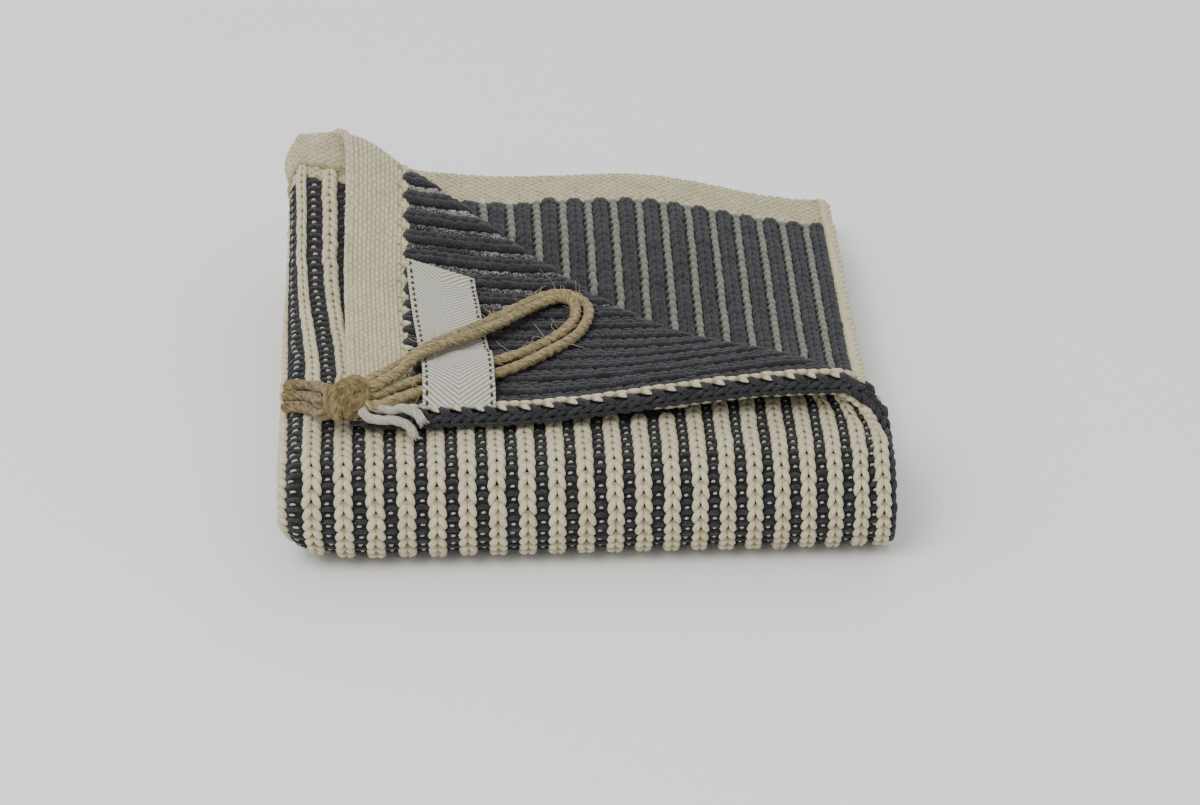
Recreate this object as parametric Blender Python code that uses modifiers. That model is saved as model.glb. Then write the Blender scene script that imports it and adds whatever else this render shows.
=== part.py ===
"""A two-colour ribbed knit hand towel, folded in quarters, with one corner turned back.

Metres, +Z up, with the front fold towards -Y and the side fold at -X. The cloth is first
laid out from its own left fold and front fold. The finished pieces are then moved, so that
the origin is on the floor under the middle of the towel.

A spot on the cloth is given by two lengths. way is measured across the ribs from the left
fold, positive on the outer layer and negative on the inner one. run is measured along the
ribs from where the front fold meets the top, positive towards the far edge, and negative
round the front fold and on under the towel.
"""

import math

import bmesh
import bpy
from mathutils import Vector

# The knit. Its ribs stand up on both faces, those of one face between those of the other.
RIBS_TO_EDGE = 21.2
PITCH_AT_FOLD = 0.00692  # from one rib to the next beside the left fold
PITCH_AT_EDGE = 0.00555  # and at the side edges, where the knit is drawn in
CORE = 0.0034  # the cloth's thickness without its ribs
RELIEF = 0.0007  # how far the ribs of one face stand out of the core
BAND = 0.0138  # the smooth band at each end of the ribs
SMOOTH_EDGE = 0.0010  # the smooth strip along each side edge

# The two folds that quarter the towel.
SIDE_RADIUS = 0.0030  # the middle of the cloth round the left fold
INNER_RADIUS = 0.0042  # the middle of the inner layer round the front fold
TOP_LENGTH = 0.1280  # from the front fold to the far edge, at the left fold
OUTER_SHORTER = 0.0040  # what the outer layer has lost of it, at its side edge
TIP_SHORTER = 0.0016  # and what its band has lost near the tip of the turned corner

# The corner of the top layer that is turned back along a diagonal.
TURN_START = 0.0013  # where the diagonal leaves the side edge, behind the front fold
TURN_RADIUS = 0.0026  # the middle of the cloth, where the turned corner lies down
LOOSE_EXTRA = 0.0019  # and more at the near right end, where it rolls up
PUFF_EXTRA = 0.0002  # and at the far left end

THICKNESS = CORE + 2 * RELIEF
MIDDLE_RADIUS = INNER_RADIUS + SIDE_RADIUS
OUTER_RADIUS = MIDDLE_RADIUS + SIDE_RADIUS
ROUND_LENGTH = math.pi * MIDDLE_RADIUS
SIDE_LENGTH = math.pi * SIDE_RADIUS / 2
SIDE_CENTRE = SIDE_RADIUS + THICKNESS / 2
FRONT_CENTRE = OUTER_RADIUS + THICKNESS / 2
FLATTENED = 0.0003  # how much the ribs underneath are flattened by the floor
INNER_SHARE = 0.991  # how wide the inner layer lies, next to the outer one
TUCK = 0.0024  # how far the lower left corner is drawn in under the front fold
CORNER_LIFT = 0.0019  # and how far it stays up off the floor
LEAN = 0.0029  # how far the first ribs lean out to the left at their far end
WAIST = 0.0005  # how far the left fold is drawn in there
BULGE = 0.0016  # and how far the band beyond them bulges out again
ROUNDED = 0.0020  # how far the fold is rounded off at its far end

# How the soft stack settles: a row for each layer, from the floor up, with the height of its
# middle between the folds, and what is added to that where the stack is pressed together
# away from the folds, where it humps along the far edge, where it puffs up at the far left
# corner, where the tip of the turned corner presses it down again, in the smooth bands, and
# where those slump at the far right.
LAYERS = (
    # middle, pressed, hump, puff, tip, band, slump
    (FRONT_CENTRE - OUTER_RADIUS, 0.0, 0.0, 0.0, 0.0, -0.0005, 0.0),
    (FRONT_CENTRE - INNER_RADIUS, -0.0009, 0.0020, 0.0012, -0.0005, -0.0008, -0.0008),
    (FRONT_CENTRE + INNER_RADIUS, -0.0042, 0.0086, 0.0022, -0.0016, -0.0006, -0.0012),
    (FRONT_CENTRE + OUTER_RADIUS, -0.0050, 0.0084, 0.0034, -0.0040, 0.0, 0.0),
)

MIDDLE = Vector((0.0666, 0.0724, 0.0))  # under the middle of the towel: the finished origin

# The label, a woven tape sewn across the turned corner. A row for each place along it, from
# the side edge on, with the middle of the tape at its left and right edges.
LABEL_THICKNESS = 0.0010
LABEL_COLUMNS = 5
LABEL_ROWS = 26
LABEL = (
    # distance back, left x, left height, right x, right height
    (0.0207, 0.0318, 0.0303, 0.0477, 0.0303),
    (0.0235, 0.0319, 0.0318, 0.0478, 0.0310),
    (0.0255, 0.0319, 0.0334, 0.0478, 0.0320),
    (0.0285, 0.0319, 0.0337, 0.0477, 0.0331),
    (0.0315, 0.0319, 0.0337, 0.0477, 0.0336),
    (0.0345, 0.0318, 0.0334, 0.0476, 0.0336),
    (0.0375, 0.0317, 0.0320, 0.0475, 0.0335),
    (0.0405, 0.0316, 0.0309, 0.0473, 0.0327),
    (0.0435, 0.0314, 0.0307, 0.0471, 0.0309),
    (0.0465, 0.0312, 0.0301, 0.0469, 0.0294),
    (0.0530, 0.0307, 0.0300, 0.0464, 0.0285),
    (0.0620, 0.0300, 0.0296, 0.0457, 0.0277),
    (0.0720, 0.0293, 0.0302, 0.0451, 0.0273),
    (0.0790, 0.0289, 0.0310, 0.0446, 0.0277),
    (0.0835, 0.0286, 0.0324, 0.0443, 0.0291),
)

# The twine tie, with a knot on the turned corner: a loop of two strands, and three short tails.
TWINE = 0.0022  # how thick it is
HANGER = 0.0020  # and the two cotton ends of the hanging loop
CORD_STEP = 0.0050  # between one point of a cord and the next
KNOT_CENTRE = Vector((0.0158, 0.0208, 0.0334))
KNOT_SEAT = 0.0298  # how low the knot comes down over the turned corner
KNOT_DETAIL = 0.0006
ROUTES = {
    "tie_loop_outer": (
        (0.0200, 0.0257, 0.0345),
        (0.0238, 0.0310, 0.0334),
        (0.0272, 0.0358, 0.0326),
        (0.0312, 0.0405, 0.0329),
        (0.0370, 0.0466, 0.0324),
        (0.0430, 0.0528, 0.0313),
        (0.0478, 0.0590, 0.0298),
        (0.0530, 0.0668, 0.0280),
        (0.0578, 0.0728, 0.0269),
        (0.0630, 0.0758, 0.0267),
        (0.0674, 0.0744, 0.0265),
        (0.0698, 0.0700, 0.0266),
        (0.0698, 0.0645, 0.0271),
        (0.0677, 0.0570, 0.0277),
        (0.0646, 0.0505, 0.0289),
        (0.0601, 0.0442, 0.0301),
        (0.0552, 0.0387, 0.0308),
        (0.0500, 0.0344, 0.0312),
        (0.0440, 0.0312, 0.0314),
        (0.0370, 0.0286, 0.0314),
        (0.0310, 0.0258, 0.0314),
        (0.0262, 0.0230, 0.0315),
        (0.0218, 0.0200, 0.0318),
    ),
    "tie_loop_inner": (
        (0.0218, 0.0240, 0.0347),
        (0.0260, 0.0296, 0.0338),
        (0.0294, 0.0343, 0.0343),
        (0.0332, 0.0388, 0.0344),
        (0.0388, 0.0448, 0.0330),
        (0.0449, 0.0511, 0.0316),
        (0.0498, 0.0575, 0.0300),
        (0.0551, 0.0653, 0.0283),
        (0.0596, 0.0709, 0.0272),
        (0.0634, 0.0731, 0.0270),
        (0.0662, 0.0717, 0.0270),
        (0.0671, 0.0674, 0.0271),
        (0.0662, 0.0612, 0.0279),
        (0.0634, 0.0548, 0.0287),
        (0.0592, 0.0492, 0.0293),
        (0.0544, 0.0440, 0.0301),
        (0.0494, 0.0400, 0.0308),
        (0.0440, 0.0368, 0.0313),
        (0.0378, 0.0342, 0.0315),
        (0.0318, 0.0312, 0.0315),
        (0.0267, 0.0278, 0.0318),
        (0.0222, 0.0236, 0.0325),
    ),
    "tie_tail_back": (
        (0.0111, 0.0262, 0.0324),
        (0.0090, 0.0330, 0.0291),
        (0.0066, 0.0379, 0.0265),
        (0.0042, 0.0404, 0.0252),
        (0.0014, 0.0418, 0.0240),
    ),
    "tie_tail_middle": (
        (0.0098, 0.0232, 0.0309),
        (0.0084, 0.0286, 0.0286),
        (0.0066, 0.0330, 0.0265),
        (0.0042, 0.0356, 0.0253),
        (0.0012, 0.0374, 0.0239),
    ),
    "tie_tail_front": (
        (0.0104, 0.0200, 0.0300),
        (0.0086, 0.0241, 0.0280),
        (0.0068, 0.0279, 0.0266),
        (0.0044, 0.0306, 0.0255),
        (0.0013, 0.0330, 0.0240),
    ),
    "hanger_end_front": (
        (0.0208, 0.0172, 0.0302),
        (0.0248, 0.0171, 0.0298),
        (0.0274, 0.0172, 0.0291),
        (0.0291, 0.0166, 0.0278),
        (0.0301, 0.0157, 0.0262),
    ),
    "hanger_end_back": (
        (0.0246, 0.0193, 0.0309),
        (0.0267, 0.0197, 0.0311),
        (0.0288, 0.0195, 0.0309),
        (0.0306, 0.0183, 0.0304),
        (0.0319, 0.0168, 0.0292),
    ),
}

# How finely the cloth is creased.
ROUND_ROWS = 9  # rows round the front fold
OPEN_ROWS = 7  # rows on the top between that fold and the band
UNDER_ROWS = 4  # and underneath
TURN_CUTS = 10  # creases along the turned fold


def smooth(low, high, value):
    """0 below low, 1 above high, and an even curve between them."""
    share = min(max((value - low) / (high - low), 0.0), 1.0)
    return share * share * (3.0 - 2.0 * share)


DRAWN_IN = (PITCH_AT_EDGE - PITCH_AT_FOLD) / (2 * RIBS_TO_EDGE)


def way_of(rib):
    """How far a rib is from the left fold; the ribs are counted from 0 there."""
    count = abs(rib)
    return math.copysign(PITCH_AT_FOLD * count + DRAWN_IN * count * count, rib)


def rib_of(way):
    """The count of ribs to a spot that is this far from the left fold."""
    root = math.sqrt(PITCH_AT_FOLD**2 + 4 * DRAWN_IN * abs(way))
    return math.copysign((root - PITCH_AT_FOLD) / (2 * DRAWN_IN), way)


HALF_WIDTH = way_of(RIBS_TO_EDGE)
EDGE_X = SIDE_CENTRE + HALF_WIDTH - SIDE_LENGTH


def length(way):
    """How far the cloth reaches behind the front fold."""
    drawn_in = TIP_SHORTER * smooth(0.008, 0.020, way) * (1 - smooth(0.030, 0.075, way))
    return TOP_LENGTH - OUTER_SHORTER * way / HALF_WIDTH - drawn_in


def past_ribs(way, run):
    """How far into the band at the nearer end of the ribs, and negative on the ribs."""
    return max(run, -run - ROUND_LENGTH) - (length(way) - BAND)


def relief(way, run):
    """How far the ribs push the middle of the cloth towards its outer face."""
    if past_ribs(way, run) > 0 or abs(way) > HALF_WIDTH - SMOOTH_EDGE:
        return 0.0
    return RELIEF * math.cos(2 * math.pi * rib_of(way))


def turned(x, run, rise):
    """A spot of the top layer once the corner is turned back, and its height over the middle."""
    past = ((x - EDGE_X) + (run - TURN_START)) / math.sqrt(2)
    along = ((x - EDGE_X) - (run - TURN_START)) / math.sqrt(2)
    if past <= 0:
        return x, run, rise
    radius = (
        TURN_RADIUS
        + LOOSE_EXTRA * smooth(-0.065, -0.020, along)
        + PUFF_EXTRA * smooth(-0.176, -0.155, along) * (1 - smooth(-0.145, -0.095, along))
    )
    angle = min(past / radius, math.pi)
    beyond = max(past - math.pi * radius, 0.0)
    past = (radius - rise) * math.sin(angle) - beyond
    height = radius - (radius - rise) * math.cos(angle)
    x = EDGE_X + (past + along) / math.sqrt(2)
    run = TURN_START + (past - along) / math.sqrt(2)
    return x, run, height


def settled(x, run, z, banded):
    """The height of a spot once the soft stack has settled."""
    tip = smooth(0.0130, 0.0160, x) - 0.30 * smooth(0.004, 0.011, x)
    shares = (
        smooth(0.015, 0.060, run) * smooth(0.010, 0.060, x),
        smooth(0.058, 0.112, run) * (1 - smooth(0.078, 0.132, x)),
        smooth(0.072, 0.120, run) * (1 - smooth(0.014, 0.034, x)),
        smooth(0.113, 0.127, run) * tip * (1 - smooth(0.016, 0.030, x)),
        banded,
        banded * smooth(0.090, 0.125, x),
    )
    level = min(max(z, LAYERS[0][0]), LAYERS[-1][0])
    low, high = next(pair for pair in zip(LAYERS, LAYERS[1:]) if level <= pair[1][0])
    up = (level - low[0]) / (high[0] - low[0])
    rises = (a + up * (b - a) for a, b in zip(low[1:], high[1:]))
    return z - FLATTENED + sum(share * rise for share, rise in zip(shares, rises))


def swayed(x, run):
    """How far the knit is pulled sideways: in at the lower left corner, out at the far left."""
    tucked = TUCK * smooth(0.5 * ROUND_LENGTH, ROUND_LENGTH, -run) * (1 - smooth(0.0, 0.012, x))
    leaning = LEAN * smooth(0.030, 0.085, run) * smooth(0.0, 0.010, x)
    leaning += BULGE * smooth(0.110, 0.121, run) - WAIST * smooth(0.060, 0.098, run)
    rounded = ROUNDED * smooth(0.120, 0.129, run) * (1 - smooth(0.0, 0.010, x))
    return tucked + rounded - leaning * (1 - smooth(0.018, 0.050, x))


def lifted(x, run):
    """How far the lower left corner of the front fold stays up off the floor."""
    under = smooth(0.35 * ROUND_LENGTH, 0.75 * ROUND_LENGTH, -run)
    behind = smooth(ROUND_LENGTH, 2 * ROUND_LENGTH, -run)
    return CORNER_LIFT * under * (1 - behind) * (1 - smooth(0.004, 0.016, x))


def place(way, run, rise=0.0):
    """Where a spot of the folded cloth lies. rise is its way out of the middle, to the outer face."""
    rise += relief(way, run)
    banded = smooth(-0.002, 0.002, past_ribs(way, run))
    angle = max(min(way / SIDE_RADIUS, math.pi / 2), -math.pi / 2)
    beyond = max(abs(way) - SIDE_LENGTH, 0.0) * (INNER_SHARE if way < 0 else 1.0)
    x = SIDE_CENTRE + beyond - (SIDE_RADIUS + rise) * math.cos(angle)
    x += swayed(x, run)
    radius = MIDDLE_RADIUS + (SIDE_RADIUS + rise) * math.sin(angle)
    if run >= 0 and beyond > 0 and way > 0:
        x, behind, height = turned(x, run, rise)
        z = FRONT_CENTRE + OUTER_RADIUS + height
    elif run >= 0:
        behind, z = run, FRONT_CENTRE + radius
    elif run <= -ROUND_LENGTH:
        behind, z = -run - ROUND_LENGTH, FRONT_CENTRE - radius
    else:
        turn = -run / MIDDLE_RADIUS
        behind, z = -radius * math.sin(turn), FRONT_CENTRE + radius * math.cos(turn)
    z = settled(x, behind, z, banded) + lifted(x, run)
    return Vector((x, FRONT_CENTRE + behind, z))


def material(name, colour, roughness):
    """A plain finish for one sub-part."""
    made = bpy.data.materials.new(name)
    made.use_nodes = True
    shader = made.node_tree.nodes["Principled BSDF"]
    shader.inputs["Base Color"].default_value = colour
    shader.inputs["Roughness"].default_value = roughness
    shader.inputs["Metallic"].default_value = 0.0
    return made


def column_ways():
    """A column of points on each rib and in each trough, and closer ones round the left fold."""
    ribs = [half / 2 for half in range(2, 2 * int(RIBS_TO_EDGE) + 1)]
    edge = [HALF_WIDTH - SMOOTH_EDGE, HALF_WIDTH]
    outer = [way_of(quarter / 4) for quarter in range(1, 4)] + [way_of(rib) for rib in ribs] + edge
    return [-way for way in reversed(outer)] + [0.0] + outer


def row_runs(way):
    """The rows of points along one column, from the far end underneath to the far end on top."""
    ribbed = length(way) - BAND
    ends = [ribbed, ribbed + 0.0008, length(way)]
    under = [-ROUND_LENGTH - ribbed * row / UNDER_ROWS for row in range(UNDER_ROWS)]
    under += [-ROUND_LENGTH - run for run in ends]
    front = [-ROUND_LENGTH * row / ROUND_ROWS for row in range(1, ROUND_ROWS)]
    top = [ribbed * row / OPEN_ROWS for row in range(OPEN_ROWS)] + ends
    return list(reversed(under)) + list(reversed(front)) + top


def flat_cloth():
    """The cloth laid flat, with the creases that its folds need."""
    ways = column_ways()
    rows = len(row_runs(0.0))
    bpy.ops.mesh.primitive_grid_add(x_subdivisions=len(ways) - 1, y_subdivisions=rows - 1)
    cloth = bpy.context.object
    cloth.name = cloth.data.name = "towel"
    for number, vertex in enumerate(cloth.data.vertices):
        way = ways[number % len(ways)]
        vertex.co = (way, row_runs(way)[number // len(ways)], 0.0)
    mesh = bmesh.new()
    mesh.from_mesh(cloth.data)
    reach = math.pi * (TURN_RADIUS + LOOSE_EXTRA)
    for cut in range(TURN_CUTS):
        step = reach * cut / (TURN_CUTS - 1) / math.sqrt(2)
        corner = [
            face
            for face in mesh.faces
            if face.calc_center_median().x > SIDE_LENGTH and face.calc_center_median().y > 0
        ]
        edges = {edge for face in corner for edge in face.edges}
        points = {point for face in corner for point in face.verts}
        bmesh.ops.bisect_plane(
            mesh,
            geom=[*corner, *edges, *points],
            dist=1e-5,
            plane_co=(HALF_WIDTH + step, TURN_START + step, 0.0),
            plane_no=(1.0, 1.0, 0.0),
        )
    mesh.to_mesh(cloth.data)
    mesh.free()
    return cloth


def cut_flat(piece, height):
    """Cuts a piece off flat at this height, where it lies on something that flattens it."""
    mesh = bmesh.new()
    mesh.from_mesh(piece.data)
    everything = [*mesh.verts, *mesh.edges, *mesh.faces]
    bmesh.ops.bisect_plane(
        mesh,
        geom=everything,
        dist=1e-6,
        plane_co=(0, 0, height),
        plane_no=(0, 0, 1),
        clear_inner=True,
    )
    rims = [edge for edge in mesh.edges if edge.is_boundary]
    bmesh.ops.holes_fill(mesh, edges=rims, sides=0)
    bmesh.ops.recalc_face_normals(mesh, faces=mesh.faces)
    mesh.to_mesh(piece.data)
    mesh.free()


def thicken(sheet, thickness):
    """Gives a sheet its thickness, half on each side."""
    thicker = sheet.modifiers.new("thickness", "SOLIDIFY")
    thicker.thickness = thickness
    thicker.offset = 0.0
    bpy.ops.object.modifier_apply(modifier=thicker.name)


def finished(piece, finish):
    """Gives a piece its finish, and moves it with the rest to the origin."""
    piece.data.materials.clear()
    piece.data.materials.append(finish)
    piece.parent = middle
    for collection in list(piece.users_collection):
        collection.objects.unlink(piece)
    towel_parts.objects.link(piece)


def make_towel():
    """The whole towel, as one sheet laid flat, folded and thickened."""
    towel = flat_cloth()
    for vertex in towel.data.vertices:
        vertex.co = place(vertex.co.x, vertex.co.y)
    thicken(towel, CORE)
    cut_flat(towel, 0.0)
    finished(towel, material("ribbed_cotton", (0.50, 0.48, 0.40, 1.0), 0.9))


def smooth_route(points):
    """A smooth curve through hand-chosen points, read at the same share between each pair."""
    marks = [Vector(point) for point in points]
    marks = [2 * marks[0] - marks[1], *marks, 2 * marks[-1] - marks[-2]]
    for before, start, end, after in zip(marks, marks[1:], marks[2:], marks[3:]):
        for tenth in range(10):
            t = tenth / 10
            bend = (2 * before - 5 * start + 4 * end - after) * t * t
            turn = (3 * start - 3 * end + after - before) * t * t * t
            yield start + ((end - before) * t + bend + turn) / 2
    yield marks[-2]


def evenly(points, step):
    """Points that are the same distance apart along a route of many short steps."""
    points = list(points)
    lengths = [(b - a).length for a, b in zip(points, points[1:])]
    count = max(round(sum(lengths) / step), 2)
    reached, number = 0.0, 0
    even = [points[0]]
    for mark in range(1, count):
        wanted = sum(lengths) * mark / count
        while reached + lengths[number] < wanted:
            reached += lengths[number]
            number += 1
        even.append(points[number].lerp(points[number + 1], (wanted - reached) / lengths[number]))
    return even + [points[-1]]


def make_cord(name, thickness, finish):
    """A round cord along its route."""
    points = evenly(smooth_route(ROUTES[name]), CORD_STEP)
    curve = bpy.data.curves.new(name, "CURVE")
    curve.dimensions = "3D"
    curve.bevel_depth = thickness / 2
    curve.bevel_resolution = 2
    curve.use_fill_caps = True
    line = curve.splines.new("POLY")
    line.points.add(len(points) - 1)
    for mark, point in zip(line.points, points):
        mark.co = (*point, 1.0)
    cord = bpy.data.objects.new(name, curve)
    towel_parts.objects.link(cord)
    finished(cord, finish)


def turn_of_knot(place, radius, thickness, turn):
    """One turn of the knot, as a ring."""
    bpy.ops.mesh.primitive_torus_add(
        location=KNOT_CENTRE + Vector(place),
        rotation=turn,
        major_radius=radius,
        minor_radius=thickness / 2,
        major_segments=32,
        minor_segments=12,
    )
    bpy.ops.object.transform_apply()
    return bpy.context.object


def make_knot(finish):
    """The knot, as its turns run into one lump that lies on the turned corner."""
    facing = turn_of_knot((0.0006, 0.0, 0.0003), 0.0031, 0.0034, (math.radians(58), 0.0, 0.0))
    crossing = turn_of_knot((0.0015, 0.0006, 0.0002), 0.0025, 0.0031, (0.2, math.radians(64), 0.5))
    bpy.ops.mesh.primitive_uv_sphere_add(
        segments=24, ring_count=12, radius=0.0029, location=KNOT_CENTRE
    )
    bpy.ops.object.transform_apply()
    heart = bpy.context.object
    for turn in (facing, crossing, heart):
        cut_flat(turn, KNOT_SEAT)
    around = turn_of_knot((-0.0032, 0.0003, -0.0012), 0.0030, 0.0028, (0.0, math.radians(78), 0.1))
    for turn in (facing, crossing, heart, around):
        turn.select_set(True)
    bpy.ops.object.join()
    knot = bpy.context.object
    knot.name = knot.data.name = "tie_knot"
    merge = knot.modifiers.new("merge", "REMESH")
    merge.mode = "VOXEL"
    merge.voxel_size = KNOT_DETAIL
    bpy.ops.object.modifier_apply(modifier=merge.name)
    finished(knot, finish)


def between_rows(share):
    """The label's row this far along its table, from 0 to 1, straight between the rows."""
    rows = [*LABEL, LABEL[-1]]
    number = min(int(share * (len(LABEL) - 1)), len(LABEL) - 2)
    part = share * (len(LABEL) - 1) - number
    return [a + (b - a) * part for a, b in zip(rows[number], rows[number + 1])]


def make_label():
    """The woven label, which lies over the two lower strands of the tie."""
    bpy.ops.mesh.primitive_grid_add(x_subdivisions=LABEL_COLUMNS, y_subdivisions=LABEL_ROWS)
    label = bpy.context.object
    label.name = label.data.name = "label"
    for vertex in label.data.vertices:
        across = (vertex.co.x + 1) / 2
        back, left, left_height, right, right_height = between_rows((vertex.co.y + 1) / 2)
        x = left + (right - left) * across
        vertex.co = (x, back, left_height + (right_height - left_height) * across)
    thicken(label, LABEL_THICKNESS)
    finished(label, material("label_tape", (0.60, 0.60, 0.55, 1.0), 0.8))


for leftover in list(bpy.data.objects):
    bpy.data.objects.remove(leftover)

towel_parts = bpy.data.collections.new("folded_hand_towel")
bpy.context.scene.collection.children.link(towel_parts)
middle = bpy.data.objects.new("middle", None)
towel_parts.objects.link(middle)
middle.location = -MIDDLE

make_towel()
make_label()
jute = material("jute_twine", (0.30, 0.22, 0.12, 1.0), 0.95)
cotton = material("hanger_cotton", (0.55, 0.53, 0.45, 1.0), 0.9)
make_knot(jute)
for route in ROUTES:
    if route.startswith("tie"):
        make_cord(route, TWINE, jute)
    else:
        make_cord(route, HANGER, cotton)
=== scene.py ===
# %% [markdown]
# # A folded, ribbed hand towel
# This notebook dresses the solid model of a small knitted towel. The solids hold its true shape:
# one sheet of thick two-colour rib knit, folded in quarters, with a corner turned back. Here it
# gets what makes it a towel to the eye: yarn, stitches, a woven label and a tie of jute twine.

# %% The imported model
import math
import random

import bpy
from mathutils import Euler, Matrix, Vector


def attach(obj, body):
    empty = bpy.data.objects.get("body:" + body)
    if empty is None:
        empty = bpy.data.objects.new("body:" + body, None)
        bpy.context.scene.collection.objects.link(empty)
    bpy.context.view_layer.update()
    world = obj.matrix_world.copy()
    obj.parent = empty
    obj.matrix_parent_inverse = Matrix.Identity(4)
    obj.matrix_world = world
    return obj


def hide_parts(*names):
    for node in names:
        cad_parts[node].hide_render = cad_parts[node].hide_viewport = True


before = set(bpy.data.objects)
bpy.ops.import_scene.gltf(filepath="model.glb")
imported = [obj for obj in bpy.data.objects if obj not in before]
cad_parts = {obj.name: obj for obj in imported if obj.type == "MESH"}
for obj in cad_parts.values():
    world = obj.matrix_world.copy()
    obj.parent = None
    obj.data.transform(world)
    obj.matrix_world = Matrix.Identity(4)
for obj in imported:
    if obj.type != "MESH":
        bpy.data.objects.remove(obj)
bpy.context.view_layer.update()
bpy.ops.object.select_all(action="DESELECT")
chance = random.Random(7)

# %% [markdown]
# ## The camera
# The photograph looks down on the towel at about 31 degrees, from nearly a metre away, with a
# long lens. The camera aims at a point near the middle of the towel, and the picture's centre
# lies a little to the lower right of it.

# %% Camera
PICTURE = (1200, 805)
FOCAL_PIXELS = 4100.86  # the lens, in pixels of the photograph
ELEVATION = math.radians(31.364)
TURN = math.radians(-2.650)
DISTANCE = 0.942635
AIM = Vector((-0.0006, -0.0024, 0.014))
AIM_PIXEL = (571.02, 353.96)  # where the photograph shows that point

forward = Vector(
    (
        -math.sin(TURN) * math.cos(ELEVATION),
        math.cos(TURN) * math.cos(ELEVATION),
        -math.sin(ELEVATION),
    )
)
rightward = Vector((math.cos(TURN), math.sin(TURN), 0.0))
upward = rightward.cross(forward)
aside = (AIM_PIXEL[0] - PICTURE[0] / 2) / FOCAL_PIXELS
below = (AIM_PIXEL[1] - PICTURE[1] / 2) / FOCAL_PIXELS

bpy.ops.object.camera_add()
camera = bpy.context.object
camera.name = "photo_camera"
camera.location = AIM - DISTANCE * (forward + rightward * aside - upward * below)
camera.rotation_euler = forward.to_track_quat("-Z", "Y").to_euler()
camera.data.sensor_width = 36.0
camera.data.lens = FOCAL_PIXELS * camera.data.sensor_width / PICTURE[0]
camera.data.clip_end = 20.0
bpy.context.scene.camera = camera
print("lens", round(camera.data.lens, 1), "mm")

# %% [markdown]
# ## Floor and light
# The towel was shot as a plain product picture: a white surface, and light so soft that its
# shadows have no edges. One wide plane makes the floor. A bright white world gives most of the
# light, one large lamp above and to the front left gives the folds their modelling, and a
# weaker one at the back right brightens their far sides.

# %% Floor and lamps
bpy.ops.mesh.primitive_plane_add(size=6.0, location=(0.0, 1.0, -0.0003))
floor = bpy.context.object
floor.name = "floor"
paper = bpy.data.materials.new("matt_white_paper")
paper.use_nodes = True
paper.node_tree.nodes["Principled BSDF"].inputs["Base Color"].default_value = (0.9, 0.9, 0.9, 1)
paper.node_tree.nodes["Principled BSDF"].inputs["Roughness"].default_value = 0.9
floor.data.materials.append(paper)

world = bpy.data.worlds.new("studio")
world.use_nodes = True
world.node_tree.nodes["Background"].inputs["Color"].default_value = (1.0, 1.0, 1.0, 1.0)
world.node_tree.nodes["Background"].inputs["Strength"].default_value = 0.85
bpy.context.scene.world = world


def add_softbox(name, place, power, size):
    """A square lamp that faces the towel."""
    bpy.ops.object.light_add(type="AREA", location=place)
    lamp = bpy.context.object
    lamp.name = name
    lamp.data.energy = power
    lamp.data.size = size
    lamp.rotation_euler = Vector(place).to_track_quat("Z", "Y").to_euler()


add_softbox("key_light", (-0.45, -0.55, 0.95), 9.0, 0.6)
add_softbox("back_light", (0.3, 0.9, 0.9), 3.0, 0.8)

# %% [markdown]
# ## How the cloth lies
# The towel is one sheet, so every stitch has a place on the flat cloth: how far it is across
# the ribs from the left fold, and how far along them from the front fold. The solids were
# folded with the same rules and sizes, so a stitch that is laid here sits right on them.
# A third number lifts yarn off the middle of the cloth, towards its cream outer face or, when
# it is negative, towards its charcoal inner face.

# %% Sizes of the knit and its folds
RIBS_TO_EDGE = 21.2  # from the left fold to a side edge
PITCH_AT_FOLD = 0.00692  # from one rib to the next beside the left fold
PITCH_AT_EDGE = 0.00555  # and at the side edges
STRIP_RIBS = 3.6  # how many ribs show between the left fold and the turned corner
CORE = 0.0034  # the cloth's thickness without its ribs
RELIEF = 0.0007  # how far the ribs of one face stand out of it
BAND = 0.0138  # the smooth band at each end of the ribs
SIDE_RADIUS = 0.0030  # the middle of the cloth round the left fold
INNER_RADIUS = 0.0042  # the middle of the inner layer round the front fold
TOP_LENGTH = 0.1280  # from the front fold to the far edge, at the left fold
OUTER_SHORTER = 0.0040  # what the outer layer has lost of it at its side edge
TIP_SHORTER = 0.0016  # and what its band has lost near the tip of the turned corner
TURN_START = 0.0013  # where the slanting fold leaves the side edge, behind the front fold
TURN_RADIUS = 0.0026  # the middle of the cloth where the turned corner lies down
LOOSE_EXTRA = 0.0019  # and more where it rolls up, at the right
PUFF_EXTRA = 0.0002  # and at the far left
THICKNESS = CORE + 2 * RELIEF
MIDDLE_RADIUS = INNER_RADIUS + SIDE_RADIUS
OUTER_RADIUS = MIDDLE_RADIUS + SIDE_RADIUS
ROUND_LENGTH = math.pi * MIDDLE_RADIUS
SIDE_LENGTH = math.pi * SIDE_RADIUS / 2
SIDE_CENTRE = SIDE_RADIUS + THICKNESS / 2
FRONT_CENTRE = OUTER_RADIUS + THICKNESS / 2
FLATTENED = 0.0003  # how much the floor flattens the ribs underneath
INNER_SHARE = 0.991  # how wide the inner layer lies, next to the outer one
TUCK = 0.0024  # how far the lower left corner is drawn in under the front fold
CORNER_LIFT = 0.0019  # and how far it stays up off the floor
LEAN = 0.0029  # how far the first ribs lean out to the left at their far end
WAIST = 0.0005  # how far the left fold is drawn in there
BULGE = 0.0016  # and how far the band beyond them bulges out again
ROUNDED = 0.0020  # how far the fold is rounded off at its far end
SLIDE = 0.0022  # how far the far ends of the ribs have slid round the left fold
ARCH = 0.1122  # how far behind the front fold the ribs under the puffed corner end
FILLED = 0.0042  # how far the cream of that corner reaches down into the troughs
MIDDLE = Vector((0.0666, 0.0724, 0.0))  # the origin, on the floor under the towel's middle
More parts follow.
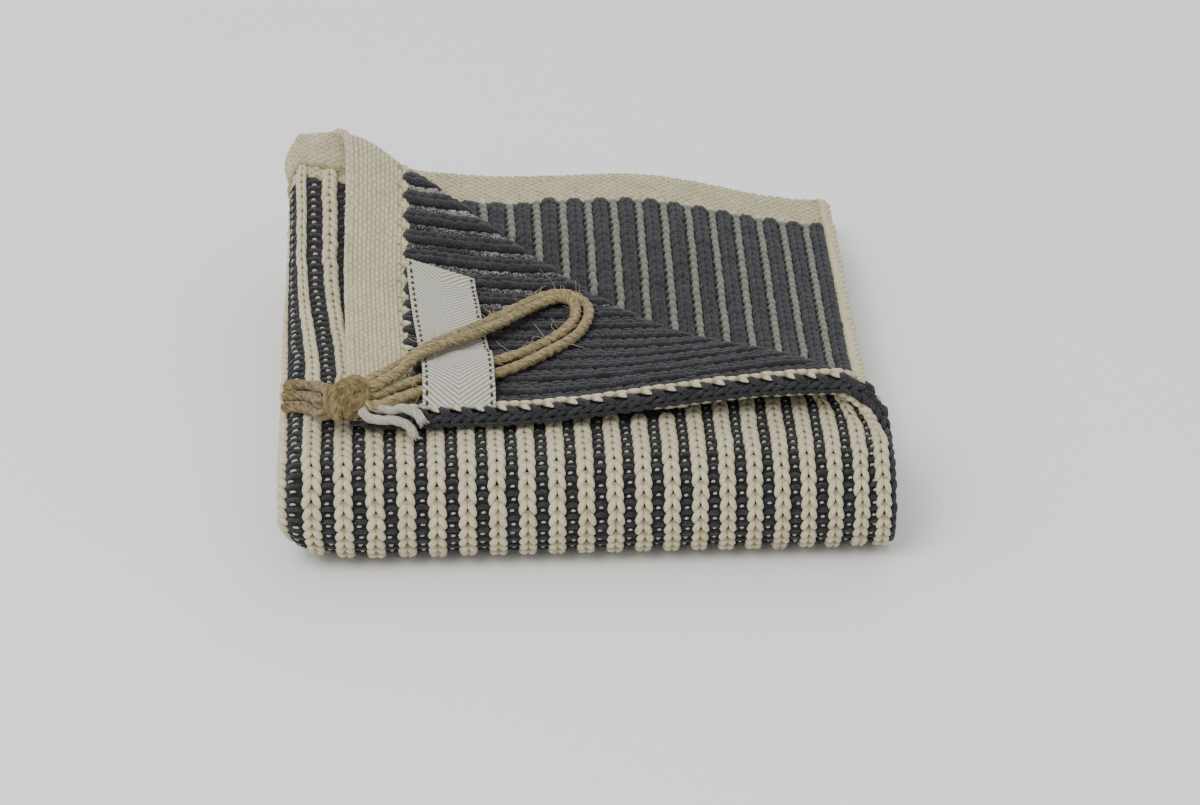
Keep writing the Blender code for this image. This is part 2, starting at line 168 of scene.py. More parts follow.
LAYERS = (
    # The height of each layer's middle between the folds, and what is added to it where the
    # stack is pressed, where it humps along the far edge, where it puffs up at the far left
    # corner, where the turned corner's tip presses that down, in the smooth bands, and where
    # those slump at the far right.
    (FRONT_CENTRE - OUTER_RADIUS, 0.0, 0.0, 0.0, 0.0, -0.0005, 0.0),
    (FRONT_CENTRE - INNER_RADIUS, -0.0009, 0.0020, 0.0012, -0.0005, -0.0008, -0.0008),
    (FRONT_CENTRE + INNER_RADIUS, -0.0042, 0.0086, 0.0022, -0.0016, -0.0006, -0.0012),
    (FRONT_CENTRE + OUTER_RADIUS, -0.0050, 0.0084, 0.0034, -0.0040, 0.0, 0.0),
)
DRAWN_IN = (PITCH_AT_EDGE - PITCH_AT_FOLD) / (2 * RIBS_TO_EDGE)  # makes the pitch change evenly


def smooth(low, high, value):
    """0 below low, 1 above high, and an even curve between them."""
    share = min(max((value - low) / (high - low), 0.0), 1.0)
    return share * share * (3.0 - 2.0 * share)


def way_of(rib):
    """How far a rib is from the left fold; the ribs are counted from 0 there."""
    count = abs(rib)
    return math.copysign(PITCH_AT_FOLD * count + DRAWN_IN * count * count, rib)


def rib_of(way):
    """The count of ribs to a spot that is this far from the left fold."""
    root = math.sqrt(PITCH_AT_FOLD**2 + 4 * DRAWN_IN * abs(way))
    return math.copysign((root - PITCH_AT_FOLD) / (2 * DRAWN_IN), way)


HALF_WIDTH = way_of(RIBS_TO_EDGE)
EDGE_X = SIDE_CENTRE + HALF_WIDTH - SIDE_LENGTH
print("flat cloth", round(2 * HALF_WIDTH, 3), "by", round(2 * TOP_LENGTH + ROUND_LENGTH, 3), "m")

# %% [markdown]
# ## Folding a spot of cloth
# The next functions fold one spot at a time. The left fold and the front fold are half rounds,
# and the turned corner rolls over a slanting line. The soft stack then settles: it is pressed
# thin in the middle, humps along its far edge and puffs up at the far left corner. Each
# smooth(low, high, value) below is such a change between two distances in metres: from the
# left fold where the value is x or a way, and from the front fold where it is a run.


# %% How far the cloth and its ribs reach
def length(way):
    """How far the cloth reaches behind the front fold."""
    drawn_in = TIP_SHORTER * smooth(0.008, 0.020, way) * (1 - smooth(0.030, 0.075, way))
    return TOP_LENGTH - OUTER_SHORTER * way / HALF_WIDTH - drawn_in


def past_ribs(way, run):
    """How far into the band at the nearer end of the ribs, and negative on the ribs."""
    return max(run, -run - ROUND_LENGTH) - (length(way) - BAND)


def arch(way):
    """How far behind the front fold the ribs by the left fold end, under the puffed corner."""
    aside = min(max(rib_of(way), -0.3), STRIP_RIBS) - 1.1
    return ARCH - (0.0021 if aside > 0 else 0.0060) * aside * aside


reaches = [round(length(way) * 1000) for way in (-HALF_WIDTH, 0.0, HALF_WIDTH)]
print("from one side edge to the other, the cloth reaches", reaches, "mm back")


# %% The turned corner
def past_turn(x, run):
    """How far beyond the line along which the corner is turned back."""
    return ((x - EDGE_X) + (run - TURN_START)) / math.sqrt(2)


def turned(x, run, rise):
    """A spot of the top layer once the corner is turned back, and its height over the middle."""
    past = past_turn(x, run)
    along = ((x - EDGE_X) - (run - TURN_START)) / math.sqrt(2)
    if past <= 0:
        return x, run, rise
    radius = (
        TURN_RADIUS
        + LOOSE_EXTRA * smooth(-0.065, -0.020, along)
        + PUFF_EXTRA * smooth(-0.176, -0.155, along) * (1 - smooth(-0.145, -0.095, along))
    )
    angle = min(past / radius, math.pi)
    beyond = max(past - math.pi * radius, 0.0)
    past = (radius - rise) * math.sin(angle) - beyond
    height = radius - (radius - rise) * math.cos(angle)
    x = EDGE_X + (past + along) / math.sqrt(2)
    run = TURN_START + (past - along) / math.sqrt(2)
    return x, run, height


print("the corner turns back from", round(EDGE_X * 1000), "mm right of the left fold")


# %% How the soft stack settles
def settled(x, run, z, banded):
    """The height of a spot once the soft stack has settled: a share of each rise in LAYERS."""
    tip = smooth(0.0130, 0.0160, x) - 0.30 * smooth(0.004, 0.011, x)
    shares = (
        smooth(0.015, 0.060, run) * smooth(0.010, 0.060, x),
        smooth(0.058, 0.112, run) * (1 - smooth(0.078, 0.132, x)),
        smooth(0.072, 0.120, run) * (1 - smooth(0.014, 0.034, x)),
        smooth(0.113, 0.127, run) * tip * (1 - smooth(0.016, 0.030, x)),
        banded,
        banded * smooth(0.090, 0.125, x),
    )
    level = min(max(z, LAYERS[0][0]), LAYERS[-1][0])
    low, high = next(pair for pair in zip(LAYERS, LAYERS[1:]) if level <= pair[1][0])
    up = (level - low[0]) / (high[0] - low[0])
    rises = (a + up * (b - a) for a, b in zip(low[1:], high[1:]))
    return z - FLATTENED + sum(share * rise for share, rise in zip(shares, rises))


def swayed(x, run):
    """How far the knit is pulled sideways: in at the lower left corner, out at the far left."""
    tucked_shade = TUCK * smooth(0.5 * ROUND_LENGTH, ROUND_LENGTH, -run) * (1 - smooth(0.0, 0.012, x))
    leaning = LEAN * smooth(0.030, 0.085, run) * smooth(0.0, 0.010, x)
    leaning += BULGE * smooth(0.110, 0.121, run) - WAIST * smooth(0.060, 0.098, run)
    rounded = ROUNDED * smooth(0.120, 0.129, run) * (1 - smooth(0.0, 0.010, x))
    return tucked_shade + rounded - leaning * (1 - smooth(0.018, 0.050, x))


def lifted(x, run):
    """How far the lower left corner of the front fold stays up off the floor."""
    under = smooth(0.35 * ROUND_LENGTH, 0.75 * ROUND_LENGTH, -run)
    behind = smooth(ROUND_LENGTH, 2 * ROUND_LENGTH, -run)
    return CORNER_LIFT * under * (1 - behind) * (1 - smooth(0.004, 0.016, x))


def slid(way, run):
    """Where a spot is across the folded stack, once the ribs have slid round the left fold."""
    sliding = SLIDE * smooth(0.025, 0.110, run) * (1 - smooth(0.004, 0.024, abs(way)))
    return way - sliding


puffed_to = settled(0.010, 0.120, LAYERS[-1][0], 0.0)
print("at the far left, the middle of the top layer is", round(puffed_to * 1000), "mm up")


# %% Where a spot lies
def lay(way, run, rise=0.0):
    """Where a spot of the cloth lies once the towel is folded."""
    banded = smooth(-0.002, 0.002, past_ribs(way, run))
    way = slid(way, run)
    angle = max(min(way / SIDE_RADIUS, math.pi / 2), -math.pi / 2)
    beyond = max(abs(way) - SIDE_LENGTH, 0.0) * (INNER_SHARE if way < 0 else 1.0)
    x = SIDE_CENTRE + beyond - (SIDE_RADIUS + rise) * math.cos(angle)
    x += swayed(x, run)
    radius = MIDDLE_RADIUS + (SIDE_RADIUS + rise) * math.sin(angle)
    if run >= 0 and beyond > 0 and way > 0:
        x, behind, height = turned(x, run, rise)
        z = FRONT_CENTRE + OUTER_RADIUS + height
    elif run >= 0:
        behind, z = run, FRONT_CENTRE + radius
    elif run <= -ROUND_LENGTH:
        behind, z = -run - ROUND_LENGTH, FRONT_CENTRE - radius
    else:
        turn = -run / MIDDLE_RADIUS
        behind, z = -radius * math.sin(turn), FRONT_CENTRE + radius * math.cos(turn)
    z = max(settled(x, behind, z, banded) + lifted(x, run), 0.0)
    return Vector((x, FRONT_CENTRE + behind, z)) - MIDDLE


print("far left corner of the top layer", [round(v, 4) for v in lay(0.010, length(0.010))])

# %% [markdown]
# ## Colours and finishes
# Colours are picked as on a screen, in sRGB hex, and turned to the linear values that Blender
# mixes light in. One small function adds a node with its settings and links, so each finish
# below reads as a short recipe.


# %% Helpers for finishes
def linear(hex_colour):
    """An sRGB hex colour as Blender's linear red, green, blue and alpha."""
    parts = [int(hex_colour[place : place + 2], 16) / 255 for place in (1, 3, 5)]
    values = [c / 12.92 if c <= 0.04045 else ((c + 0.055) / 1.055) ** 2.4 for c in parts]
    return (*values, 1.0)


def add_node(material, kind, settings=None, values=None, links=None):
    """Adds a node, sets its properties and sockets, and links other nodes' outputs to it."""
    node = material.node_tree.nodes.new(kind)
    for name, value in (settings or {}).items():
        setattr(node, name, value)
    for name, value in (values or {}).items():
        node.inputs[name].default_value = value
    for name, output in (links or {}).items():
        material.node_tree.links.new(output, node.inputs[name])
    return node


def new_finish(name, roughness, sheen):
    """A material with the settings of a matt textile, and its shader."""
    made = bpy.data.materials.new(name)
    made.use_nodes = True
    shader = made.node_tree.nodes["Principled BSDF"]
    shader.inputs["Roughness"].default_value = roughness
    shader.inputs["Sheen Weight"].default_value = sheen
    shader.inputs["Sheen Roughness"].default_value = 0.6
    shader.inputs["IOR"].default_value = 1.45
    shader.inputs["Specular IOR Level"].default_value = 0.2
    return made, shader


def dress(material, shader, factor, stops, height, strength, depth):
    """Colours a surface by the shades of one pattern, and raises it by another, depth in metres."""
    ramp = add_node(material, "ShaderNodeValToRGB", links={"Fac": factor})
    while len(ramp.color_ramp.elements) < len(stops):
        ramp.color_ramp.elements.new(0.5)
    for element, (place, colour) in zip(ramp.color_ramp.elements, stops):
        element.position = place
        element.color = linear(colour)
    relief = {"Strength": strength, "Distance": depth}
    bump = add_node(material, "ShaderNodeBump", values=relief, links={"Height": height})
    material.node_tree.links.new(ramp.outputs["Color"], shader.inputs["Base Color"])
    material.node_tree.links.new(bump.outputs["Normal"], shader.inputs["Normal"])


CREAM = ("#8F855F", "#C4BC9C", "#D2CBAE")
CHARCOAL = ("#17171A", "#2A2A2E", "#46464B")
# grey of the ridges on the layer below: trough yarn greyed with painted shade
SHADOWED_TROUGH = ("#484741", "#716F66", "#8C8A7F")
# painted shade for the strips beside those ridges
PAINTED_SHADE = ("#2C2C2D", "#4C4B48", "#6F6D66")
# heathered streaks on the turned corner's ridges, partly painted highlights
HEATHER_AND_HIGHLIGHT = ("#1B1B1E", "#303033", "#96948B")
print("the middle cream is", [round(part, 3) for part in linear(CREAM[1])[:3]], "in linear light")

# %% [markdown]
# ## Cotton yarn
# The real yarn is soft two-ply combed cotton, dyed in the yarn. Its plies show as fine slanting
# lines, and its fibres catch the light at grazing angles as a dull bloom. Each strand carries a
# UV map that runs round it and along it, so the plies can turn with the strand. The charcoal
# yarn is heathered: lighter fibres fleck it. On the turned corner's ridges, its light patches
# are partly painted highlights.


# %% Yarn finishes
PLY_STREAKS = (9.0, 0.35, 0.0)  # nine round the strand, and one in about 3 mm along it
FIBRES = 2600.0  # a metre, one in 0.4 mm, which is coarser than real fibres so that they show


def yarn_finish(name, colours, contrast, depth, tucked_shade=0.0, patch=(240.0, 0.3), sheen=0.25):
    """Cotton yarn in a dark, a middle and a light shade of its colour.

    Where a strand starts, tucked in between others, it may be darker: painted shade. Its patches
    have a scale, in patches a metre, and a share.
    """
    made, shader = new_finish(name, 0.85, sheen)
    spot = add_node(made, "ShaderNodeTexCoord")
    plied = add_node(
        made,
        "ShaderNodeVectorMath",
        {"operation": "MULTIPLY"},
        {1: PLY_STREAKS},
        {0: spot.outputs["UV"]},
    )
    turned_ply = add_node(
        made,
        "ShaderNodeTexNoise",
        values={"Scale": 1.0, "Detail": 1.5, "Distortion": 0.4},
        links={"Vector": plied.outputs[0]},
    )
    fibres = add_node(
        made,
        "ShaderNodeTexNoise",
        values={"Scale": FIBRES, "Detail": 4.0, "Roughness": 0.65},
        links={"Vector": spot.outputs["Object"]},
    )
    patches = add_node(
        made,
        "ShaderNodeTexNoise",
        values={"Scale": patch[0], "Detail": 3.0},
        links={"Vector": spot.outputs["Object"]},
    )
    mixed = add_node(
        made,
        "ShaderNodeMath",
        {"operation": "MULTIPLY_ADD"},
        {1: patch[1]},
        {0: patches.outputs["Fac"], 2: fibres.outputs["Fac"]},
    )
    parts = add_node(made, "ShaderNodeSeparateXYZ", links={0: spot.outputs["UV"]})
    # painted shade: darker where a strand starts, tucked in between others
    start = add_node(
        made,
        "ShaderNodeMapRange",
        {"interpolation_type": "SMOOTHSTEP"},
        {"From Min": 0.3, "From Max": 1.5, "To Min": -tucked_shade, "To Max": 0.0},
        {"Value": parts.outputs["Y"]},
    )
    shade = add_node(
        made, "ShaderNodeMath", {"operation": "ADD"}, links={0: mixed.outputs[0], 1: start.outputs[0]}
    )
    middle = 0.5 + patch[1] / 2
    stops = [(middle - contrast, colours[0]), (middle, colours[1]), (middle + contrast, colours[2])]
    height = add_node(
        made,
        "ShaderNodeMath",
        {"operation": "ADD"},
        links={0: turned_ply.outputs["Fac"], 1: fibres.outputs["Fac"]},
    )
    dress(made, shader, shade.outputs[0], stops, height.outputs[0], 0.9, depth)
    return made


# the last number of the cream and band yarns is their painted shade where each strand starts
cream_yarn = yarn_finish("cream_cotton_yarn", CREAM, 0.28, 0.00012, 0.35)
charcoal_yarn = yarn_finish("charcoal_cotton_yarn", CHARCOAL, 0.18, 0.00030, 0.0, sheen=0.12)
shadowed_trough_yarn = yarn_finish("mixed_cotton_yarn", SHADOWED_TROUGH, 0.28, 0.00012)
painted_shade_strip_yarn = yarn_finish("painted_shade_cotton_yarn", PAINTED_SHADE, 0.28, 0.00012)
band_yarn = yarn_finish("band_cotton_yarn", CREAM, 0.28, 0.00012, 0.24)
speck_yarn = yarn_finish("pale_cotton_yarn", ("#77735F", "#A5A18F", "#C6C3B3"), 0.28, 0.0001)
heather_highlight_yarn = yarn_finish("heathered_cotton_yarn", HEATHER_AND_HIGHLIGHT, 0.20, 0.00020, 0.0, (60.0, 0.8), 0.12)
print("yarns", [yarn.name for yarn in bpy.data.materials if "yarn" in yarn.name])

# %% [markdown]
# ## Making many small strands
# A knitted face is thousands of short plump legs of yarn. Each kind of leg is made once, as a
# small closed tube in flat cloth measures: across the ribs, along them, and up off the cloth.
# A copy is then laid at each stitch through the folding rules, so that the legs follow every
# bend of the towel, and all copies join into one mesh. By hand that would take thousands of
# copies and bends, so loops work out the points.


# %% A strand in flat measures
def tube(marks, sides, lobes=0, depth=0.0, twist=0.0):
    """A closed tube through marks of place and radius, in metres: its points, faces and UVs.

    The UVs run once round the strand, and along it in millimetres. Lobes make its plies, which
    twist round it by so many turns a metre, and the UVs turn with them.
    """
    places = [Vector(mark[:3]) for mark in marks]
    points, faces, maps = [], [], []
    across = None
    reached = [0.0]
    for number, (place, mark) in enumerate(zip(places, marks)):
        after = places[min(number + 1, len(places) - 1)]
        before = places[max(number - 1, 0)]
        ahead = (after - before).normalized()
        if across is None:
            across = ahead.orthogonal()
        across = (across - across.dot(ahead) * ahead).normalized()
        upright = ahead.cross(across)
        if number:
            reached.append(reached[-1] + (place - before).length)
        for side in range(sides):
            angle = 2 * math.pi * side / sides
            plied = 1 + depth * math.cos(lobes * (angle - 2 * math.pi * twist * reached[-1]))
            reach = mark[3] * plied
            points.append(place + reach * (math.cos(angle) * across + math.sin(angle) * upright))
    marked = [along * 1000 for along in reached]
    for ring in range(len(places) - 1):
        for side in range(sides):
            beside = (side + 1) % sides
            low, high = ring * sides, (ring + 1) * sides
            faces.append((low + side, low + beside, high + beside, high + side))
            left, right = side / sides - twist * reached[ring], side / sides - twist * reached[ring + 1]
            wide, near, far = 1 / sides, marked[ring], marked[ring + 1]
            maps.append((left, near, left + wide, near, right + wide, far, right, far))
    for ring, end in ((0, places[0]), (len(places) - 1, places[-1])):
        middle = len(points)
        points.append(end)
        for side in range(sides):
            pair = (ring * sides + side, ring * sides + (side + 1) % sides)
            faces.append((*(pair if ring else pair[::-1]), middle))
            maps.append((side / sides, marked[ring]) * 3)
    return points, faces, maps


print("a six-sided strand through two marks has", len(tube(((0, 0, 0, 1), (0, 0, 1, 1)), 6)[1]), "faces")


# %% Shapes joined, and made into pieces
def joined(*shapes):
    """Several shapes as one."""
    points, faces, maps = [], [], []
    for shape_points, shape_faces, shape_maps in shapes:
        start = len(points)
        points += shape_points
        faces += [tuple(corner + start for corner in face) for face in shape_faces]
        maps += shape_maps
    return points, faces, maps


def make_piece(name, shape, finishes, finish_of=None):
    """A smooth mesh object from a shape, with its finishes; it rides on the towel's body."""
    points, faces, maps = shape
    mesh = bpy.data.meshes.new(name)
    mesh.from_pydata([tuple(point) for point in points], [], faces)
    layer = mesh.uv_layers.new(name="along_yarn")
    layer.data.foreach_set("uv", [value for corners in maps for value in corners])
    for finish in finishes:
        mesh.materials.append(finish)
    if finish_of:
        mesh.polygons.foreach_set("material_index", finish_of)
    mesh.shade_smooth()
    piece = bpy.data.objects.new(name, mesh)
    bpy.context.scene.collection.objects.link(piece)
    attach(piece, "root")
    print(name, sum(len(face) - 2 for face in faces), "triangles")
    return piece


# %% [markdown]
# ## The tie
# The tie is jute twine: soft plies of long coarse fibres, laid round each other with an easy
# twist, which has loosened in the knot and the tails. A doubled length of it makes a flat loop
# that lies on the turned corner, is drawn through a knot, and ends in three cut tails at the
# left fold. Each strand is a lobed tube that turns as it goes, a lobe for each ply. The routes
# are the ones that the solids follow, through listed points.

# %% Routes of the tie and of the hanging loop
ROUTES = {
    "tie_loop_outer": (
        (0.0200, 0.0257, 0.0345), (0.0238, 0.0310, 0.0334), (0.0272, 0.0358, 0.0326),
        (0.0312, 0.0405, 0.0329), (0.0370, 0.0466, 0.0324), (0.0430, 0.0528, 0.0313),
        (0.0478, 0.0590, 0.0298), (0.0530, 0.0668, 0.0280), (0.0578, 0.0728, 0.0269),
        (0.0630, 0.0758, 0.0267), (0.0674, 0.0744, 0.0265), (0.0698, 0.0700, 0.0266),
        (0.0698, 0.0645, 0.0271), (0.0677, 0.0570, 0.0277), (0.0646, 0.0505, 0.0289),
        (0.0601, 0.0442, 0.0301), (0.0552, 0.0387, 0.0308), (0.0500, 0.0344, 0.0312),
        (0.0440, 0.0312, 0.0314), (0.0370, 0.0286, 0.0314), (0.0310, 0.0258, 0.0314),
        (0.0262, 0.0230, 0.0315), (0.0218, 0.0200, 0.0318),
    ),
    "tie_loop_inner": (
        (0.0218, 0.0240, 0.0347), (0.0260, 0.0296, 0.0338), (0.0294, 0.0343, 0.0343),
        (0.0332, 0.0388, 0.0344), (0.0388, 0.0448, 0.0330), (0.0449, 0.0511, 0.0316),
        (0.0498, 0.0575, 0.0300), (0.0551, 0.0653, 0.0283), (0.0596, 0.0709, 0.0272),
        (0.0634, 0.0731, 0.0270), (0.0662, 0.0717, 0.0270), (0.0671, 0.0674, 0.0271),
        (0.0662, 0.0612, 0.0279), (0.0634, 0.0548, 0.0287), (0.0592, 0.0492, 0.0293),
        (0.0544, 0.0440, 0.0301), (0.0494, 0.0400, 0.0308), (0.0440, 0.0368, 0.0313),
        (0.0378, 0.0342, 0.0315), (0.0318, 0.0312, 0.0315), (0.0267, 0.0278, 0.0318),
        (0.0222, 0.0236, 0.0325),
    ),
    "tie_tail_back": (
        (0.0111, 0.0262, 0.0324), (0.0090, 0.0330, 0.0291), (0.0066, 0.0379, 0.0265),
        (0.0042, 0.0404, 0.0252), (0.0014, 0.0418, 0.0240),
    ),
    "tie_tail_middle": (
        (0.0098, 0.0232, 0.0309), (0.0084, 0.0286, 0.0286), (0.0066, 0.0330, 0.0265),
        (0.0042, 0.0356, 0.0253), (0.0012, 0.0374, 0.0239),
    ),
    "tie_tail_front": (
        (0.0104, 0.0200, 0.0300), (0.0086, 0.0241, 0.0280), (0.0068, 0.0279, 0.0266),
        (0.0044, 0.0306, 0.0255), (0.0013, 0.0330, 0.0240),
    ),
    "hanger_end_front": (
        (0.0208, 0.0172, 0.0302), (0.0248, 0.0171, 0.0298), (0.0274, 0.0172, 0.0291),
        (0.0291, 0.0166, 0.0278), (0.0301, 0.0157, 0.0262),
    ),
    "hanger_end_back": (
        (0.0246, 0.0193, 0.0309), (0.0267, 0.0197, 0.0311), (0.0288, 0.0195, 0.0309),
        (0.0306, 0.0183, 0.0304), (0.0319, 0.0168, 0.0292),
    ),
}
TWINE = 0.0022  # how thick it is
HANGER = 0.0020  # and the hanging loop
KNOT_CENTRE = Vector((0.0158, 0.0208, 0.0334))
KNOT_SEAT = 0.0298  # how low the knot comes down
print(len(ROUTES), "routes")


# %% Smooth and even routes
def smooth_route(points):
    """A smooth curve through given points."""
    marks = [Vector(point) - MIDDLE for point in points]
    marks = [2 * marks[0] - marks[1], *marks, 2 * marks[-1] - marks[-2]]
    route = []
    for before, start, end, after in zip(marks, marks[1:], marks[2:], marks[3:]):
        for tenth in range(10):
            t = tenth / 10
            bend = (2 * before - 5 * start + 4 * end - after) * t * t
            turn = (3 * start - 3 * end + after - before) * t * t * t
            route.append(start + ((end - before) * t + bend + turn) / 2)
    return route + [marks[-2]]


def evenly(points, step):
    """Points that are the same distance apart along a route of many short steps."""
    lengths = [(b - a).length for a, b in zip(points, points[1:])]
    count = max(round(sum(lengths) / step), 2)
    reached, number = 0.0, 0
    even = [points[0]]
    for mark in range(1, count):
        wanted = sum(lengths) * mark / count
        while reached + lengths[number] < wanted:
            reached += lengths[number]
            number += 1
        even.append(points[number].lerp(points[number + 1], (wanted - reached) / lengths[number]))
    return even + [points[-1]]


def route_length(points):
    """How long a route is."""
    return sum((b - a).length for a, b in zip(points, points[1:]))


for name, points in ROUTES.items():
    print(name, "follows", round(route_length(smooth_route(points)) * 1000), "mm")

# %% [markdown]
# ## Jute
# Jute is a stiff, straw-brown bast fibre. Its long fibres lie nearly along the strand, lighter
# and darker by turns, so the finish is a noise that is drawn out along the strand's UV map.


# %% Jute and the hanging loop's yarn
def twine_finish(name, colours, around, along, depth):
    """Fibres in a dark, a middle and a light shade: so many round a strand, and along a millimetre."""
    made, shader = new_finish(name, 0.88, 0.15)
    spot = add_node(made, "ShaderNodeTexCoord")
    drawn_out = add_node(
        made,
        "ShaderNodeVectorMath",
        {"operation": "MULTIPLY"},
        {1: (around, along, 1.0)},
        {0: spot.outputs["UV"]},
    )
    fibres = add_node(
        made,
        "ShaderNodeTexNoise",
        values={"Scale": 1.0, "Detail": 4.0, "Roughness": 0.6, "Distortion": 0.3},
        links={"Vector": drawn_out.outputs[0]},
    )
    stops = [(0.32, colours[0]), (0.52, colours[1]), (0.72, colours[2])]
    dress(made, shader, fibres.outputs["Fac"], stops, fibres.outputs["Fac"], 0.8, depth)
    return made


jute = twine_finish("jute_twine", ("#48391D", "#93825A", "#C2B185"), 14.0, 0.7, 0.0006)
knotted_jute = twine_finish("knotted_jute_twine", ("#3E3017", "#76653F", "#A18F66"), 10.0, 0.5, 0.0006)
loose_jute = twine_finish("loose_jute_fibre", ("#8C7B54", "#B4A47A", "#CFC29B"), 3.0, 0.3, 0.0001)
hanger_cotton = twine_finish("bleached_cotton_cord", ("#88857A", "#A9A697", "#BEBBAC"), 12.0, 0.4, 0.0005)
print("twine and cord", jute.name, knotted_jute.name, loose_jute.name, hanger_cotton.name)

# %% A twisted strand
# Each is how many plies there are, how far they go in one turn, and the step between points.
JUTE_TWIST = (3, 0.0090, 0.0003)
TAIL_TWIST = (2, 0.0260, 0.0003)
KNOT_TWIST = (2, 0.0200, 0.0003)
COTTON_TWIST = (3, 0.0110, 0.0003)
INTO_KNOT = 0.5  # how far towards the heart of the knot each strand runs on


def twisted(points, thickness, plies, turn_length, step, sides=15, depth=0.13, flare=(0.0, 0.0)):
    """A twisted strand along a route, and its path. It may flare at its start and its end.

    Its thickness wavers a little, as spun fibres do, and both ends are rounded off.
    """
    path = evenly(points, step)
    marks = []
    for number, place in enumerate(path):
        share = number / (len(path) - 1)
        radius = thickness / 2 * (1 + flare[0] * (1 - share) ** 3 + flare[1] * share**3)
        radius *= 1 + 0.04 * math.sin(number * 0.9) + chance.gauss(0, 0.015)
        if number in (0, len(path) - 1):
            radius *= 0.75
        marks.append((*place, radius))
    return tube(marks, sides, plies, depth, 1 / turn_length), path


def make_strand(name, thickness, finish, twist, flare):
    """A strand that stands for the solid of the same name, and runs on into the knot; its path."""
    marks = [Vector(mark) for mark in ROUTES[name]]
    heart = KNOT_CENTRE + Vector((0, 0, -0.0008))
    marks.insert(0, marks[0].lerp(heart, INTO_KNOT))
    if "loop" in name:
        marks.append(marks[-1].lerp(heart, INTO_KNOT))
    depth = 0.08 if "hanger" in name else 0.10
    shape, path = twisted(smooth_route(marks), thickness, *twist, depth=depth, flare=flare)
    piece = make_piece(name + "_strand", shape, [finish])
    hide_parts(name)
    return piece, path


print("the loop's plies turn once in", JUTE_TWIST[1] * 1000, "mm")

# %% Loose fibres and cut ends
def stray_fibres(path, count, reach, radius, start=0.0009):
    """Fibres that have worked loose from a strand: fine bent hairs, drawn a little thick to show."""
    made = []
    for number in range(count):
        spot = path[chance.randrange(2, len(path) - 2)]
        away = Vector([chance.gauss(0, 1) for axis in range(3)]).normalized()
        curl = Vector([chance.gauss(0, 0.5) for axis in range(3)])
        away.z, curl.z = abs(away.z) * 0.8, curl.z * 0.5
        size = reach * chance.uniform(0.4, 1.0)
        marks = []
        for step in range(5):
            t = step / 4
            place = spot + away * (start * 0.6 + size * t) + curl * size * t * t
            place.z = max(place.z, spot.z - 0.0008)
            marks.append((*place, radius * (1 - 0.6 * t)))
        made.append(tube(marks, 3))
    return joined(*made)


def frayed(path, count, reach, radius, spread):
    """The cut end of a strand: its yarns untwist and spread."""
    ahead = (path[-1] - path[-4]).normalized()
    side = ahead.orthogonal().normalized()
    other = ahead.cross(side)
    made = []
    for number in range(count):
        angle = 2 * math.pi * number / count
        out = math.cos(angle) * side + math.sin(angle) * other
        size = reach * chance.uniform(0.7, 1.1)
        marks = []
        for step in range(4):
            t = step / 3
            place = path[-3] + ahead * size * t + out * (radius * 1.5 + spread * t * t)
            marks.append((*place, radius * (1 - 0.7 * t)))
        made.append(tube(marks, 5))
    return joined(*made)


on_the_tie, loose = [], []
for name in ("tie_tail_back", "tie_tail_middle", "tie_tail_front"):
    piece, path = make_strand(name, TWINE, knotted_jute, TAIL_TWIST, (0.45, 0.25))
    on_the_tie.append(piece)
    loose += [stray_fibres(path, 8, 0.0026, 0.00008), frayed(path, 7, 0.0016, 0.00022, 0.0006)]
on_the_towel, ends = [], []
for name in ("hanger_end_front", "hanger_end_back"):
    piece, path = make_strand(name, HANGER, hanger_cotton, COTTON_TWIST, (0.1, 0.1))
    on_the_towel.append(piece)
    ends.append(frayed(path, 9, 0.0015, 0.00036, 0.0007))
on_the_towel.append(make_piece("hanger_fray", joined(*ends), [hanger_cotton]))

# %% [markdown]
# ## The knot
# The doubled twine is tied in an overhand knot. Its turns are seen one over another: a narrow
# ring faces the camera, a wider turn crosses behind it on the right, and a third goes round the
# tails. Each turn is a twisted strand of its own, pressed flat where it rests on the cloth.


# %% Turns of the knot
FACING = Euler((math.radians(58.6), 0.0, 0.0)).to_matrix()  # stands the turns up to the camera


def knot_turn(place, reach, thickness, tilt, start, sweep, spread):
    """One turn of the knot: its place and reach are right, up and towards the camera.

    It starts at an angle and sweeps through another, in degrees, and spreads like a coil.
    """
    lie = FACING @ Euler(tilt).to_matrix()
    points = []
    for step in range(61):
        angle = math.radians(start + sweep * step / 60)
        coiled = spread * (step / 60 - 0.5)
        flat = Vector((reach[0] * math.cos(angle), reach[1] * math.sin(angle), coiled))
        points.append(KNOT_CENTRE + FACING @ Vector(place) + lie @ flat - MIDDLE)
    shape, path = twisted(points, thickness, *KNOT_TWIST, depth=0.09)
    seated = [Vector((p.x, p.y, max(p.z, KNOT_SEAT))) for p in shape[0]]
    loose.append(stray_fibres(path, 7, 0.0024, 0.00008, 0.0015))
    return seated, shape[1], shape[2]


TURNS = (
    # place, reach, thickness, tilt, start, sweep and spread
    ((-0.0014, -0.0006, 0.0013), (0.0015, 0.0034), 0.0028, (0, 0.1, -0.12), -70, 350, 0.0008),
    ((0.0010, -0.0003, 0.0000), (0.0026, 0.0039), 0.0029, (0.1, 0.25, -0.1), -110, 330, 0.0006),
    ((0.0002, 0.0004, 0.0004), (0.0012, 0.0020), 0.0036, (0, 0, 0.4), 0, 360, 0.0),
    ((-0.0036, -0.0008, -0.0006), (0.0020, 0.0028), 0.0022, (0, math.radians(72), 0.15), 0, 360, 0.0),
)
turns = joined(*(knot_turn(*row) for row in TURNS))
knot = make_piece("knot_turns", turns, [knotted_jute])
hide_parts("tie_knot")
on_the_tie.append(knot)

